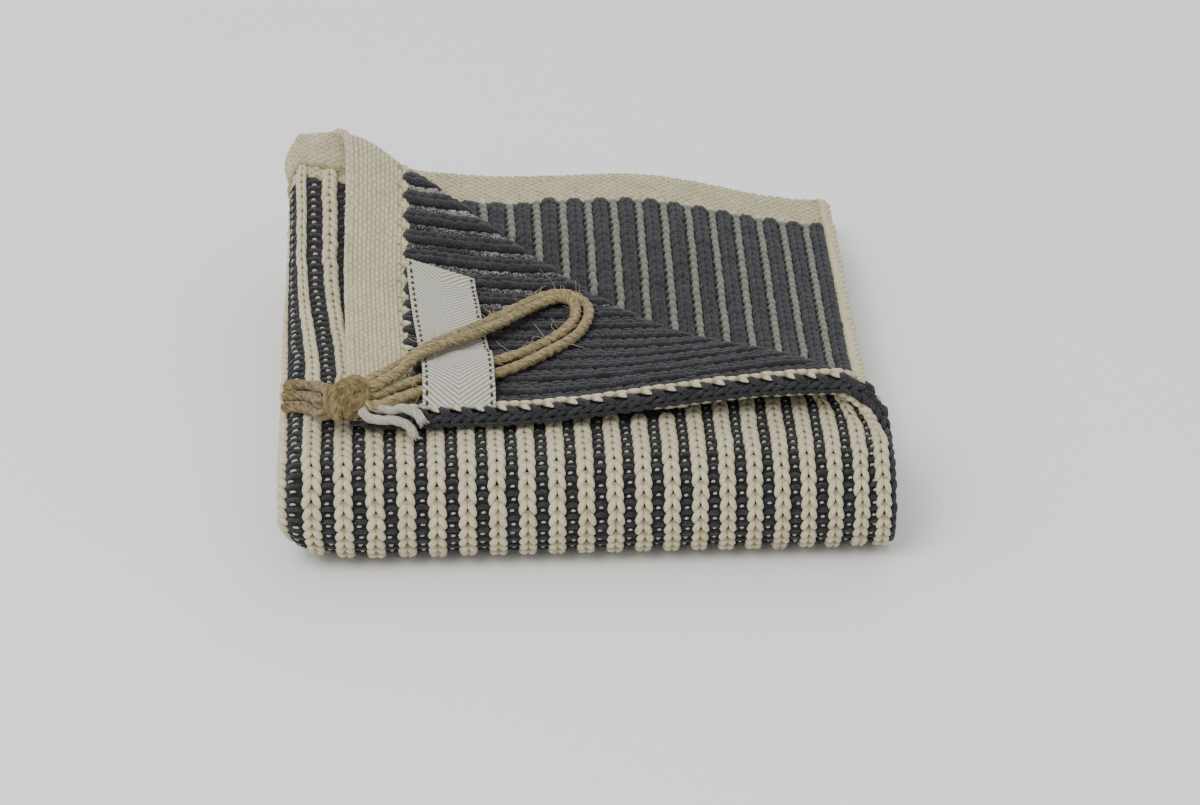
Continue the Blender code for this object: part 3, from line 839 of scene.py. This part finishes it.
# %% The two strands of the loop
loops = {}
for name in ("tie_loop_outer", "tie_loop_inner"):
    loops[name] = make_strand(name, TWINE, jute, JUTE_TWIST, (0.15, 0.1))
    loose.append(stray_fibres(loops[name][1], 60, 0.0064, 0.00010))
on_the_tie.append(make_piece("stray_jute_fibres", joined(*loose), [loose_jute]))
for name, pieces in (("tie_loop_outer", on_the_tie), ("tie_loop_inner", [])):
    loop, path = loops[name]
    print(name, "is", round(route_length(path) * 1000), "mm long")

# %% [markdown]
# ## The ground of the cloth
# Under and between the raised stitches lies the body of the knit. It is one closed sheet, with
# a low wave for the ribs, and is what shows deep in the troughs, between the layers and under
# the bars of the smooth bands.

# %% Rows of stitches
ROW = 0.00245  # from one row of stitches to the next, where the cloth lies flat
FRONT_ROW = 0.00172  # and along the middle of the stack round the front fold
FRONT_ROWS = ROUND_LENGTH / FRONT_ROW


def run_of(row):
    """How far along the ribs a row of stitches is; rows are counted from the front fold."""
    if row >= 0:
        return row * ROW
    if row >= -FRONT_ROWS:
        return row * FRONT_ROW
    return -ROUND_LENGTH + (row + FRONT_ROWS) * ROW


def rows_between(first, last):
    """The whole rows between two runs."""
    return [row for row in range(-100, 100) if first <= run_of(row) <= last]


print(round(2 * TOP_LENGTH / ROW + FRONT_ROWS), "rows of stitches")

# %% Shape of the sheet
GROUND = 0.00115  # from the middle of the cloth to the ground of each face
GROUND_WAVE = 0.00020  # and how far that is up and down, from rib to trough
BAND_GROUND = 0.00125  # and in the bands
ROUNDING = 0.0012  # how far in from its edges the sheet is thinned
COLUMNS_PER_RIB = 6
SHEET_ROWS = 132


def ground(way, run, face):
    """How far the ground of the outer face (1) or the inner face (-1) is from the middle."""
    wave = GROUND + GROUND_WAVE * face * math.cos(2 * math.pi * rib_of(way))
    banded = smooth(-0.001, 0.001, past_ribs(way, run))
    edge = max(min(HALF_WIDTH - abs(way), BAND - past_ribs(way, run)), 0.0) / ROUNDING
    thick = wave + (BAND_GROUND - wave) * banded
    return face * thick * math.sqrt(min(0.2 + edge, 1.0))


def rim_of(width, rows):
    """Pairs of neighbours round the rim of a grid of points."""
    rim = list(range(width))
    rim += [row * width + width - 1 for row in range(1, rows + 1)]
    rim += [rows * width + column for column in range(width - 2, -1, -1)]
    rim += [row * width for row in range(rows - 1, 0, -1)]
    return list(zip(rim, rim[1:] + rim[:1]))


def sheet_shape():
    """The whole folded sheet, and the number of the finish of each face."""
    count = int(RIBS_TO_EDGE * COLUMNS_PER_RIB)
    ways = [way_of(RIBS_TO_EDGE * column / count) for column in range(-count, count + 1)]
    points, faces, maps, finish_of = [], [], [], []

    def run_at(way, row):
        # The rows are spread evenly from one end of the cloth to the other.
        return length(way) - (2 * length(way) + ROUND_LENGTH) * row / SHEET_ROWS

    for face in (1, -1):
        for row in range(SHEET_ROWS + 1):
            for way in ways:
                run = run_at(way, row)
                points.append(lay(way, run, ground(way, run, face)))
    width = len(ways)
    layer = width * (SHEET_ROWS + 1)
    for row in range(SHEET_ROWS):
        for column in range(width - 1):
            corner = row * width + column
            quad = (corner, corner + 1, corner + width + 1, corner + width)
            left, right = rib_of(ways[column]), rib_of(ways[column + 1])
            near, far = run_at(ways[column], row) / ROW, run_at(ways[column], row + 1) / ROW
            faces.append(quad[::-1])
            faces.append(tuple(spot + layer for spot in quad))
            maps.append((left, far, right, far, right, near, left, near))
            maps.append((left, near, right, near, right, far, left, far))
            middle = 0.5 * (ways[column] + ways[column + 1])
            run = run_at(middle, row + 0.5)
            banded = past_ribs(middle, run) > 0
            arched = abs(middle) < way_of(STRIP_RIBS) and run > arch(middle) - FILLED
            finish_of += [2 if banded or arched else 0, 2 if banded else 1]
    for spot, beside in rim_of(width, SHEET_ROWS):
        faces.append((spot, beside, beside + layer, spot + layer))
        maps.append((0.0, 0.0) * 4)
        finish_of.append(0 if spot % width == width - 1 else 2)
    return (points, faces, maps), finish_of


shape, finish_of = sheet_shape()
print("the sheet has", len(shape[0]), "points")

# %% Finishes of the sheet
GROUND_FLECKS = 900.0  # a metre


def ground_finish(name, colour, fleck):
    """The ground of the knit: soft yarn that is too deep or too close to show its strands."""
    made, shader = new_finish(name, 0.9, 0.2)
    spot = add_node(made, "ShaderNodeTexCoord")
    fibres = add_node(
        made,
        "ShaderNodeTexNoise",
        values={"Scale": GROUND_FLECKS, "Detail": 4.0, "Roughness": 0.7},
        links={"Vector": spot.outputs["Object"]},
    )
    stops = [(0.45, colour), (0.75, fleck)]
    dress(made, shader, fibres.outputs["Fac"], stops, fibres.outputs["Fac"], 0.6, 0.0003)
    return made


outer_ground = ground_finish("charcoal_knit_ground", "#131315", "#28282B")
inner_ground = ground_finish("inner_knit_ground", "#19191B", "#3A3A3B")
band_ground = ground_finish("cream_band_ground", "#A0966F", "#B5AC8A")
grounds = [outer_ground, inner_ground, band_ground]
towel = make_piece("towel_cloth", shape, grounds, finish_of)
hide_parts("towel")

# %% [markdown]
# ## Chains of stitches
# A rib is a chain: each stitch is a pair of plump legs that meet at the top and spread below.
# The top of each stitch lies over the spread legs of the one before, with a small dark hole
# between them just above it. All stitches point the same way along the cloth, since it is
# knitted from one end to the other. The legs are plumper on the turned corner, and flatter on
# the layer below it, which has been pressed.

# %% One stitch
LEG = (
    # across, along, up and radius, in millimetres, as in every table of a strand below
    (0.08, 1.62, 1.30, 0.34),
    (0.28, 1.18, 1.66, 0.60),
    (0.58, 0.50, 1.80, 0.76),
    (0.98, -0.30, 1.72, 0.82),
    (1.22, -1.10, 1.42, 0.78),
    (1.34, -1.85, 1.00, 0.45),
)


def short_strand(marks, sides=6, mirrored=1):
    """A strand from marks in millimetres."""
    return tube([(mirrored * a / 1000, b / 1000, c / 1000, r / 1000) for a, b, c, r in marks], sides)


def stitch(leg):
    """A stitch from one of its two legs."""
    return joined(short_strand(leg), short_strand(leg, mirrored=-1))


SOFT_LEG = (
    (0.14, 1.90, 1.30, 0.48),
    (0.42, 1.20, 1.58, 0.82),
    (0.78, 0.20, 1.68, 0.95),
    (1.06, -0.90, 1.60, 0.92),
    (1.22, -1.90, 1.30, 0.58),
)
FLAT_LEG = (
    (0.35, 2.10, 1.42, 0.62),
    (0.62, 1.30, 1.58, 0.86),
    (0.88, 0.20, 1.64, 0.93),
    (1.06, -0.95, 1.60, 0.92),
    (1.16, -2.10, 1.42, 0.70),
)
STITCH_PITCH = 0.0062  # the pitch of ribs that the stitches are drawn for
STITCH = stitch(LEG)
print("a stitch has", len(STITCH[1]), "faces")


# %% Laying copies of a stitch
def laid(spots, shape, face, looseness=0.00008, squeezed=True, narrowed=0.0):
    """Copies of a shape, laid at spots of a way and a row on the outer (1) or inner (-1) face.

    They may be narrowed by a share in the strip beside the turned corner.
    """
    points, faces, maps = shape
    backwards = [tuple(v for pair in list(zip(m[::2], m[1::2]))[::-1] for v in pair) for m in maps]
    all_points, all_faces, all_maps = [], [], []
    for centre, row in spots:
        start = len(all_points)
        aside = chance.gauss(0, looseness)
        ahead = chance.gauss(0, looseness)
        plump = 1 + chance.gauss(0, 0.03)
        pitch = PITCH_AT_FOLD + (PITCH_AT_EDGE - PITCH_AT_FOLD) * abs(centre) / HALF_WIDTH
        squeeze = pitch / STITCH_PITCH if squeezed else 1.0
        if abs(centre) < way_of(STRIP_RIBS):
            squeeze *= 1 - narrowed * smooth(0.010, 0.045, run_of(row))
        mirror = math.copysign(1.0, centre)
        for point in points:
            run = run_of(row + (point.y + ahead) / ROW)
            way = centre + mirror * (point.x * squeeze + aside)
            all_points.append(lay(way, run, face * point.z * plump))
        turn_round = face * int(mirror)
        all_faces += [tuple(corner + start for corner in part)[::turn_round] for part in faces]
        all_maps += maps if turn_round > 0 else backwards
    return all_points, all_faces, all_maps


# %% [markdown]
# ## The cream ribs
# These are the ribs of the outer face that show: down the front, in the narrow strip left of the
# turned corner, round the left fold and underneath. The ones that the turned corner hides are
# left out.


# %% Where the ribs of the outer face show
LAST_RIB = 21
LAST_RIB_AT = 20.85  # the edge's own stitches push the last rib in a little


def shows_outside(way, run):
    """Whether a spot of the outer face shows, on the front or in the strip by the left fold."""
    if past_ribs(way, run) > -0.0005 or run < -ROUND_LENGTH - 0.002:
        return False
    if way < way_of(STRIP_RIBS):
        return run < arch(way) - 0.0014
    if run < 0.013:
        return True
    x = SIDE_CENTRE + way - SIDE_LENGTH
    return way > way_of(13) and past_turn(x, run) < 0.007


def outside_spots(first_rib, step_rib=0.0):
    """Spots of the outer face that show, rib by rib, from the ribs or half way between them."""
    spots = []
    for number in range(first_rib, int(RIBS_TO_EDGE) + 1):
        way = way_of(number + step_rib if number < LAST_RIB else LAST_RIB_AT + step_rib)
        if way < HALF_WIDTH:
            spots += [(way, row) for row in rows_between(-1, 1) if shows_outside(way, run_of(row))]
    return spots


def under_spots(first_rib):
    """Spots of the ribs underneath."""
    spots = []
    for number in range(first_rib, int(RIBS_TO_EDGE) + 1):
        way = way_of(number)
        last = -ROUND_LENGTH - (length(way) - BAND) + 0.0005
        spots += [(way, row) for row in rows_between(last, -ROUND_LENGTH - 0.002)]
    return spots


def add_knit(name, shape, finish):
    """Makes a piece of the knit."""
    make_piece(name, shape, [finish])


add_knit("cream_ribs", laid(outside_spots(-1), STITCH, 1, narrowed=0.22), cream_yarn)
add_knit("cream_ribs_under", laid(under_spots(-1), STITCH, 1), cream_yarn)

# %% [markdown]
# ## The troughs between the cream ribs
# In the troughs the charcoal yarn crosses in short bars, and one speck of cream looks out from
# under each bar, where the stitch behind is pulled through.

# %% Bars and specks of the outer face
BAR = (
    (-1.50, -0.30, 0.75, 0.30),
    (-0.75, 0.10, 1.15, 0.52),
    (0.00, 0.25, 1.25, 0.56),
    (0.75, 0.10, 1.15, 0.52),
    (1.50, -0.30, 0.75, 0.30),
)
SPECK = (
    (-0.48, -1.05, 1.10, 0.10),
    (-0.18, -0.92, 1.28, 0.30),
    (0.20, -0.90, 1.28, 0.30),
    (0.48, -1.02, 1.10, 0.10),
)
troughs = [
    (way, row)
    for way, row in outside_spots(-1, 0.5)
    if way > way_of(STRIP_RIBS) or run_of(row) < arch(way) - FILLED
]
bars = laid(troughs, short_strand(BAR, 5), 1, 0.00014, narrowed=-0.30)
add_knit("charcoal_bars", bars, charcoal_yarn)
specks = laid(troughs, short_strand(SPECK, 5), 1, 0.00018)
add_knit("cream_specks", specks, speck_yarn)

# %% [markdown]
# ## The charcoal ribs
# The inner face shows in two places: on the turned corner, where its ribs run across the towel,
# and on the layer below, to the right of the corner. Here the ribs are charcoal. On the layer
# below, the cream yarn in the troughs shows as grey ridges, greyed with painted shade, with a
# strip of painted shade beside each. Between the ribs of the turned corner's far half it shows
# as heathered streaks with painted highlights, and the rest of those ridges are charcoal, in
# painted shadow.

# %% Charcoal ribs and the ridges between them
RIDGE = (
    (-0.08, 1.75, 0.95, 0.40),
    (0.02, 0.85, 1.25, 0.78),
    (0.15, -0.35, 1.32, 0.92),
    (0.28, -1.35, 1.00, 0.56),
)
# a strip of painted shade on the dark side of each grey ridge
SHADE = (
    (-1.20, -0.75, 1.00, 0.30),
    (-0.85, -0.20, 1.35, 0.50),
    (-0.40, 0.15, 1.60, 0.36),
)
# Ridges up to here carry painted highlights; beyond it they are charcoal, in painted shadow.
LAST_HIGHLIGHTED = 12.5  # counted from the turned corner's far end, between two ribs


def inner_spots(side, first_rib, step_rib=0.0):
    """Spots of the inner face that show: on the turned corner (1), or on the layer below (-1)."""
    least = 0.0005 if side > 0 else -0.010
    spots = []
    for number in range(first_rib, int(RIBS_TO_EDGE)):
        way = side * way_of(number + step_rib)
        x = SIDE_CENTRE + abs(way) - SIDE_LENGTH
        for row in rows_between(0.0, length(way) - BAND - 0.0008):
            if past_turn(x, run_of(row)) > least:
                spots.append((way, row))
    return spots


add_knit("charcoal_ribs_turned", laid(inner_spots(1, 2, 0.5), stitch(SOFT_LEG), -1), charcoal_yarn)
add_knit("charcoal_ribs", laid(inner_spots(-1, 1, 0.5), stitch(FLAT_LEG), -1), charcoal_yarn)
# grey ridges on the layer below, greyed with painted shade
wide_ridge = [(a * 1.2 + 0.05, b, c + 0.10, r * 1.14) for a, b, c, r in RIDGE]
add_knit("grey_ridges", laid(inner_spots(-1, 2), short_strand(wide_ridge), -1), shadowed_trough_yarn)
# the far ridges carry painted highlights, the rest painted shadow in charcoal yarn
highlighted_ridges = [spot for spot in inner_spots(1, 3) if spot[0] < way_of(LAST_HIGHLIGHTED)]
shadowed_ridges = [spot for spot in inner_spots(1, 3) if spot[0] > way_of(LAST_HIGHLIGHTED)]
add_knit("ridges_with_painted_highlights", laid(highlighted_ridges, short_strand(RIDGE), -1, 0.0001), heather_highlight_yarn)
add_knit("ridges_in_painted_shadow", laid(shadowed_ridges, short_strand(RIDGE), -1, 0.0001), charcoal_yarn)
# strips of painted shade beside the grey ridges
shades = laid(inner_spots(-1, 2), short_strand(SHADE, 5), -1, 0.0001)
add_knit("painted_shade_beside_ridges", shades, painted_shade_strip_yarn)

# %% [markdown]
# ## The smooth bands
# Both ends of the towel are a plain cream band, knitted closer. It looks like a small brick
# wall: short soft bars in rows about a millimetre apart, each row shifted by half a bar, with
# a faint tan dot of painted shade where two bars meet.

# %% Bars of the bands
BAND_ROW = 0.00102  # from one row of bars to the next
BAR_STEP = 0.0021  # from one bar to the next in a row
RIM_STEP = 0.0031  # and along the cast-off end
FROM_END = 0.0004  # how far in the first row is
RIM_BARS = 41  # on each side of the left fold
BAND_BAR = (
    (-1.12, -0.08, 0.88, 0.26),
    (-0.62, 0.02, 1.12, 0.57),
    (0.62, 0.02, 1.12, 0.57),
    (1.12, -0.08, 0.90, 0.30),
)


def band_spots(first_way, last_way, under=False, lines=14):
    """Spots of the bars of a band between two ways; underneath, or on top."""
    spots = []
    for line in range(lines):
        count = int((last_way - first_way) / BAR_STEP)
        for number in range(count + 1):
            way = first_way + BAR_STEP * (number + 0.5 * (line % 2))
            row = (length(way) - FROM_END - BAND_ROW * line) / ROW
            if way <= last_way:
                spots.append((way, -FRONT_ROWS - row if under else row))
    return spots


band_bar = short_strand(BAND_BAR, 5)
bars = laid(band_spots(0.004, HALF_WIDTH - 0.001), band_bar, -1, 0.00006, False)
add_knit("band_turned", bars, band_yarn)
bars = laid(band_spots(-HALF_WIDTH + 0.001, -0.010), band_bar, -1, 0.00006, False)
add_knit("band_lower", bars, band_yarn)

# %% The cast-off end, and the bands of the outer face
RIM_BAR = (
    (-2.10, 0.00, 0.00, 0.86),
    (-0.80, 0.00, 0.00, 1.00),
    (0.80, 0.00, 0.00, 1.00),
    (2.10, 0.00, 0.00, 0.86),
)
SHOULDER_BAR = (
    (-1.90, 0.10, 0.66, 0.66),
    (-0.80, 0.12, 0.74, 0.76),
    (0.80, 0.12, 0.74, 0.76),
    (1.90, 0.10, 0.66, 0.66),
)


def on_puff(way, run):
    """Whether a bar lies on the puffed corner, or fills a trough just below it."""
    in_trough = abs(rib_of(way) % 1.0 - 0.5) < 0.25
    return run > arch(way) - (FILLED if in_trough else 0.0)


def rim_spots(under):
    """Spots along the cast-off end of the cloth, on top or underneath."""
    spots = []
    for number in range(-RIM_BARS, RIM_BARS + 1):
        row = (length(RIM_STEP * number) - 0.0007) / ROW
        spots.append((RIM_STEP * number, -FRONT_ROWS - row if under else row))
    return spots


puffed = band_spots(-0.006, 0.030, lines=30)
puffed = [(way, row) for way, row in puffed if on_puff(way, run_of(row))]
rims = rim_spots(False) + rim_spots(True)
corner_band = joined(
    laid(puffed, band_bar, 1, 0.00006, False),
    laid(rims, short_strand(RIM_BAR), 1, 0.00006, False),
    laid(rims, short_strand(SHOULDER_BAR), 1, 0.00006, False),
    laid(rim_spots(False), short_strand(SHOULDER_BAR), -1, 0.00006, False),
    laid(band_spots(-0.006, HALF_WIDTH - 0.001, True), band_bar, 1, 0.00006, False),
)
add_knit("band_outside", corner_band, band_yarn)

# %% Cream teeth where the ribs start, and a line of painted crease shadow under the puffed corner
START = (
    (0.00, 1.60, 1.00, 0.60),
    (0.00, 0.40, 1.40, 0.98),
    (0.00, -0.90, 1.35, 0.72),
    (0.00, -1.90, 1.10, 0.26),
)
between_ribs = [side * way_of(number) for side in (1, -1) for number in range(3, LAST_RIB + 1)]
starts = [(way, (length(way) - BAND) / ROW) for way in between_ribs]
add_knit("band_teeth", laid(starts, short_strand(START), -1, 0.0001), cream_yarn)
# a tan strand of painted shadow, for the crease where the ribs end under the puffed corner
crease_shadow_yarn = yarn_finish("painted_crease_shadow_yarn", ("#7A6B42", "#9C8E64", "#BDB38E"), 0.2, 0.0003)
crease_shadow = []
for step in range(49):
    way = way_of(-0.3 + 3.5 * step / 48)
    wave = 0.0002 * math.cos(2.2 * step)
    place = lay(way, arch(way) + wave, 0.0015 + chance.gauss(0, 0.00022))
    crease_shadow.append((*place, 0.0008 * chance.uniform(0.72, 1.1)))
add_knit("corner_crease_shadow", tube(crease_shadow, 6), crease_shadow_yarn)

# %% [markdown]
# ## The side edges
# The yarn wraps round each side edge as the knitting turns back, row by row, so the edge is a
# bead of slanting strands. On the edge that the turned corner shows it is charcoal, with a
# cream line beside it whose stitches stand out as teeth. On the other edge it is cream.


# %% Stitches of the edges
def edge_stitch():
    """A stitch of the chain that runs along an edge and faces outwards."""
    legs = ([(c - 1.35, b, side * a * 0.88, r * 0.80) for a, b, c, r in LEG] for side in (1, -1))
    return joined(*(short_strand(leg) for leg in legs))


def edge_spots(side, top):
    """Spots along a side edge, which is 1 or -1, on top or underneath."""
    reach = length(side * HALF_WIDTH)
    if top:
        rows = rows_between(-ROUND_LENGTH, reach - 0.002)
    else:
        rows = rows_between(-ROUND_LENGTH - reach + 0.002, -ROUND_LENGTH)
    return [(side * HALF_WIDTH, row) for row in rows]


# Across is 0 at the edge here, and up is away from the middle of the cloth.
LINE = (
    (-2.20, 1.75, 2.15, 0.50),
    (-2.25, 0.80, 2.40, 0.74),
    (-2.30, -0.40, 2.42, 0.76),
    (-2.25, -1.50, 2.20, 0.52),
)
TOOTH = (
    (-2.00, 1.10, 2.40, 0.60),
    (-1.30, 0.40, 2.55, 0.72),
    (-0.70, -0.20, 2.45, 0.56),
    (-0.20, -0.75, 2.20, 0.22),
)
SELVAGE = (
    (-2.75, 0.00, 1.05, 0.40),
    (-2.00, 0.02, 1.30, 0.78),
    (-0.90, 0.00, 1.10, 0.86),
    (-0.10, 0.00, 0.50, 0.86),
    (0.10, 0.00, -0.40, 0.60),
)
HUMP = (
    (-1.60, 1.90, 2.10, 0.44),
    (-0.95, 1.10, 2.25, 0.82),
    (-0.10, 0.10, 2.00, 0.88),
    (0.45, -0.90, 1.30, 0.52),
)
chain = edge_stitch()
print("a stitch of the chain has", len(chain[1]), "faces")

# %% Chains, cream line, teeth and humps
chained = laid(edge_spots(1, True) + edge_spots(1, False), chain, 1, 0.00008, False)
add_knit("edge_charcoal", chained, charcoal_yarn)
lower_edge = [(way, row + half) for way, row in edge_spots(-1, True) for half in (0.0, 0.5)]
cream_edge = joined(
    laid(edge_spots(-1, True) + edge_spots(-1, False), chain, 1, 0.00008, False),
    laid(lower_edge, short_strand(SELVAGE), -1, 0.00006, False),
)
add_knit("edge_cream", cream_edge, band_yarn)
line = [spot for spot in edge_spots(1, True) if run_of(spot[1]) > -0.003]
between_teeth = [(way, row + 1.0) for way, row in line[::2]]
hem_line = [spot for spot in line if 0.003 < run_of(spot[1]) < 0.060]
hem_leg = [(a + 0.5, b, c - 0.2, r) for a, b, c, r in LINE]
teeth = joined(
    laid(line, short_strand(LINE), -1, 0.00008, False),
    laid(hem_line, short_strand(hem_leg), 1, 0.00008, False),
    laid(line[::2], short_strand(TOOTH), -1, 0.0001, False),
)
add_knit("edge_teeth", teeth, cream_yarn)
humps = laid(between_teeth, short_strand(HUMP), -1, 0.0001, False)
add_knit("edge_humps", humps, charcoal_yarn)

# %% [markdown]
# ## The label
# The label is a woven cotton tape in herringbone twill: fine slanting ribs that meet on its
# centre line. A brown thread is woven in near both long edges and shows as a row of dashes. Its
# face is left plain. It is sewn down at the side edge and tucked under a rib at its far end.

# %% Where the label lies
LABEL = (
    # distance back, left x, left height, right x, right height
    (0.0207, 0.0318, 0.0303, 0.0477, 0.0303),
    (0.0235, 0.0319, 0.0318, 0.0478, 0.0310),
    (0.0255, 0.0319, 0.0334, 0.0478, 0.0320),
    (0.0285, 0.0319, 0.0337, 0.0477, 0.0331),
    (0.0315, 0.0319, 0.0337, 0.0477, 0.0336),
    (0.0345, 0.0318, 0.0334, 0.0476, 0.0336),
    (0.0375, 0.0317, 0.0320, 0.0475, 0.0335),
    (0.0405, 0.0316, 0.0309, 0.0473, 0.0327),
    (0.0435, 0.0314, 0.0307, 0.0471, 0.0309),
    (0.0465, 0.0312, 0.0301, 0.0469, 0.0294),
    (0.0530, 0.0307, 0.0300, 0.0464, 0.0285),
    (0.0620, 0.0300, 0.0296, 0.0457, 0.0277),
    (0.0720, 0.0293, 0.0302, 0.0451, 0.0273),
    (0.0790, 0.0289, 0.0310, 0.0446, 0.0277),
    (0.0835, 0.0286, 0.0324, 0.0443, 0.0291),
)
TAPE_WIDTH = 0.016
LABEL_THICKNESS = 0.0007
SKEW = 0.0046  # how much shorter its right edge is at the far end


def through_rows(share):
    """The label's row this far along its table, from 0 to 1, on an even curve through the rows."""
    rows = [LABEL[0], *LABEL, LABEL[-1]]
    number = min(int(share * (len(LABEL) - 1)), len(LABEL) - 2)
    t = share * (len(LABEL) - 1) - number
    row = []
    for a, b, c, d in zip(*rows[number : number + 4]):
        bend = (2 * a - 5 * b + 4 * c - d) + t * (3 * b - 3 * c + d - a)
        row.append(b + 0.5 * t * ((c - a) + t * bend))
    return row


def label_marks():
    """How far along the label each row of its table is."""
    marks = [0.0]
    for before, after in zip(LABEL, LABEL[1:]):
        risen = (after[2] + after[4] - before[2] - before[4]) / 2
        marks.append(marks[-1] + math.hypot(after[0] - before[0], risen))
    return marks


MARKS = label_marks()


def share_at(distance):
    """Where in the table, from 0 to 1, a spot this far along the label is."""
    number = 1
    while number < len(MARKS) - 1 and distance > MARKS[number]:
        number += 1
    part = (distance - MARKS[number - 1]) / (MARKS[number] - MARKS[number - 1])
    return min(max((number - 1 + part) / (len(MARKS) - 1), 0.0), 1.0)


def label_spot(across, share, rise=0.0):
    """A spot of the label: across it from 0 to 1, and along it."""
    back, left, left_height, right, right_height = through_rows(share)
    height = left_height + (right_height - left_height) * across + rise
    back -= SKEW * across * smooth(0.80, 1.0, share)
    return Vector((left + (right - left) * across, back, height)) - MIDDLE


print("the label is", round(MARKS[-1] * 1000), "mm long")

# %% The woven tape
TWILL_STEP = 0.00128  # from one slanting rib to the next, along the tape
TWILL_DEPTH = 0.00006
SLANT = 0.85  # how far a rib goes along the tape for each step across it
ACROSS_STEPS = 56
ALONG_STEPS = 260


def label_shape():
    """The tape, with its twill as low relief."""
    points, faces, maps = [], [], []
    wide, long = TAPE_WIDTH * 1000, MARKS[-1] * 1000
    for layer in (0, 1):
        for j in range(ALONG_STEPS + 1):
            for i in range(ACROSS_STEPS + 1):
                across, share = i / ACROSS_STEPS, share_at(MARKS[-1] * j / ALONG_STEPS)
                slanted = j / ALONG_STEPS * long - SLANT * abs(across - 0.5) * wide
                twill = TWILL_DEPTH * math.cos(2 * math.pi * slanted / (TWILL_STEP * 1000))
                soft_edge = 0.0002 * (1 - smooth(0.0, 0.04, min(across, 1 - across)))
                rise = LABEL_THICKNESS / 2 - soft_edge + twill
                points.append(label_spot(across, share, -LABEL_THICKNESS / 2 if layer else rise))
    width = ACROSS_STEPS + 1
    below = width * (ALONG_STEPS + 1)
    for j in range(ALONG_STEPS):
        for i in range(ACROSS_STEPS):
            corner = j * width + i
            quad = (corner, corner + 1, corner + width + 1, corner + width)
            u0, u1 = (i / ACROSS_STEPS - 0.5) * wide, ((i + 1) / ACROSS_STEPS - 0.5) * wide
            v0, v1 = j / ALONG_STEPS * long, (j + 1) / ALONG_STEPS * long
            faces += [quad, tuple(spot + below for spot in quad[::-1])]
            maps += [(u0, v0, u1, v0, u1, v1, u0, v1), (u0, v1, u1, v1, u1, v0, u0, v0)]
    for spot, beside in rim_of(width, ALONG_STEPS):
        faces.append((beside, spot, spot + below, beside + below))
        maps.append((wide / 2, 0.0) * 4)
    return points, faces, maps


print("the tape has", round(MARKS[-1] / TWILL_STEP), "slanting ribs in each half")


# %% The tape's finish
def tape_finish():
    """Bleached cotton tape: white slanting ribs with grey between, worked out from the twill."""
    made, shader = new_finish("herringbone_cotton_tape", 0.8, 0.2)
    spot = add_node(made, "ShaderNodeTexCoord")
    parts = add_node(made, "ShaderNodeSeparateXYZ", links={0: spot.outputs["UV"]})
    aside = add_node(made, "ShaderNodeMath", {"operation": "ABSOLUTE"}, links={0: parts.outputs["X"]})
    slant = add_node(made, "ShaderNodeMath", {"operation": "MULTIPLY"}, {1: SLANT}, {0: aside.outputs[0]})
    slanted = add_node(
        made,
        "ShaderNodeMath",
        {"operation": "SUBTRACT"},
        links={0: parts.outputs["Y"], 1: slant.outputs[0]},
    )
    turns = add_node(
        made,
        "ShaderNodeMath",
        {"operation": "MULTIPLY"},
        {1: 2 * math.pi / (TWILL_STEP * 1000)},
        {0: slanted.outputs[0]},
    )
    wave = add_node(made, "ShaderNodeMath", {"operation": "COSINE"}, links={0: turns.outputs[0]})
    threads = add_node(
        made,
        "ShaderNodeTexNoise",
        values={"Scale": 3.0, "Detail": 4.0, "Roughness": 0.7},
        links={"Vector": spot.outputs["UV"]},
    )
    level = add_node(
        made,
        "ShaderNodeMath",
        {"operation": "MULTIPLY_ADD"},
        {1: 0.34},
        {0: wave.outputs[0], 2: threads.outputs["Fac"]},
    )
    stops = [(0.16, "#76746A"), (0.40, "#A8A697"), (0.66, "#BDBBAD")]
    dress(made, shader, level.outputs[0], stops, level.outputs[0], 0.5, 0.00012)
    return made


tape = make_piece("label_tape", label_shape(), [tape_finish()])
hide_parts("label")

# %% Dashes of brown thread
brown_thread = yarn_finish("brown_thread", ("#1F1608", "#3A2B12", "#554324"), 0.25, 0.00005)
DASH_STEP = 0.00228
DASH_LINES = (0.06, 0.945)  # across the tape, from 0 to 1
DASH = ((-0.6, 0.18), (-0.3, 0.34), (0.3, 0.34), (0.6, 0.18))  # along and radius, in millimetres
dashes = []
for side in DASH_LINES:
    for number in range(int(MARKS[-1] / DASH_STEP)):
        marks = []
        for part, radius in DASH:
            share = share_at((number + 0.5) * DASH_STEP + part * 0.001)
            marks.append((*label_spot(side, share, LABEL_THICKNESS / 2), radius * 0.001))
        dashes.append(tube(marks, 6))
brown = make_piece("label_dashes", joined(*dashes), [brown_thread])
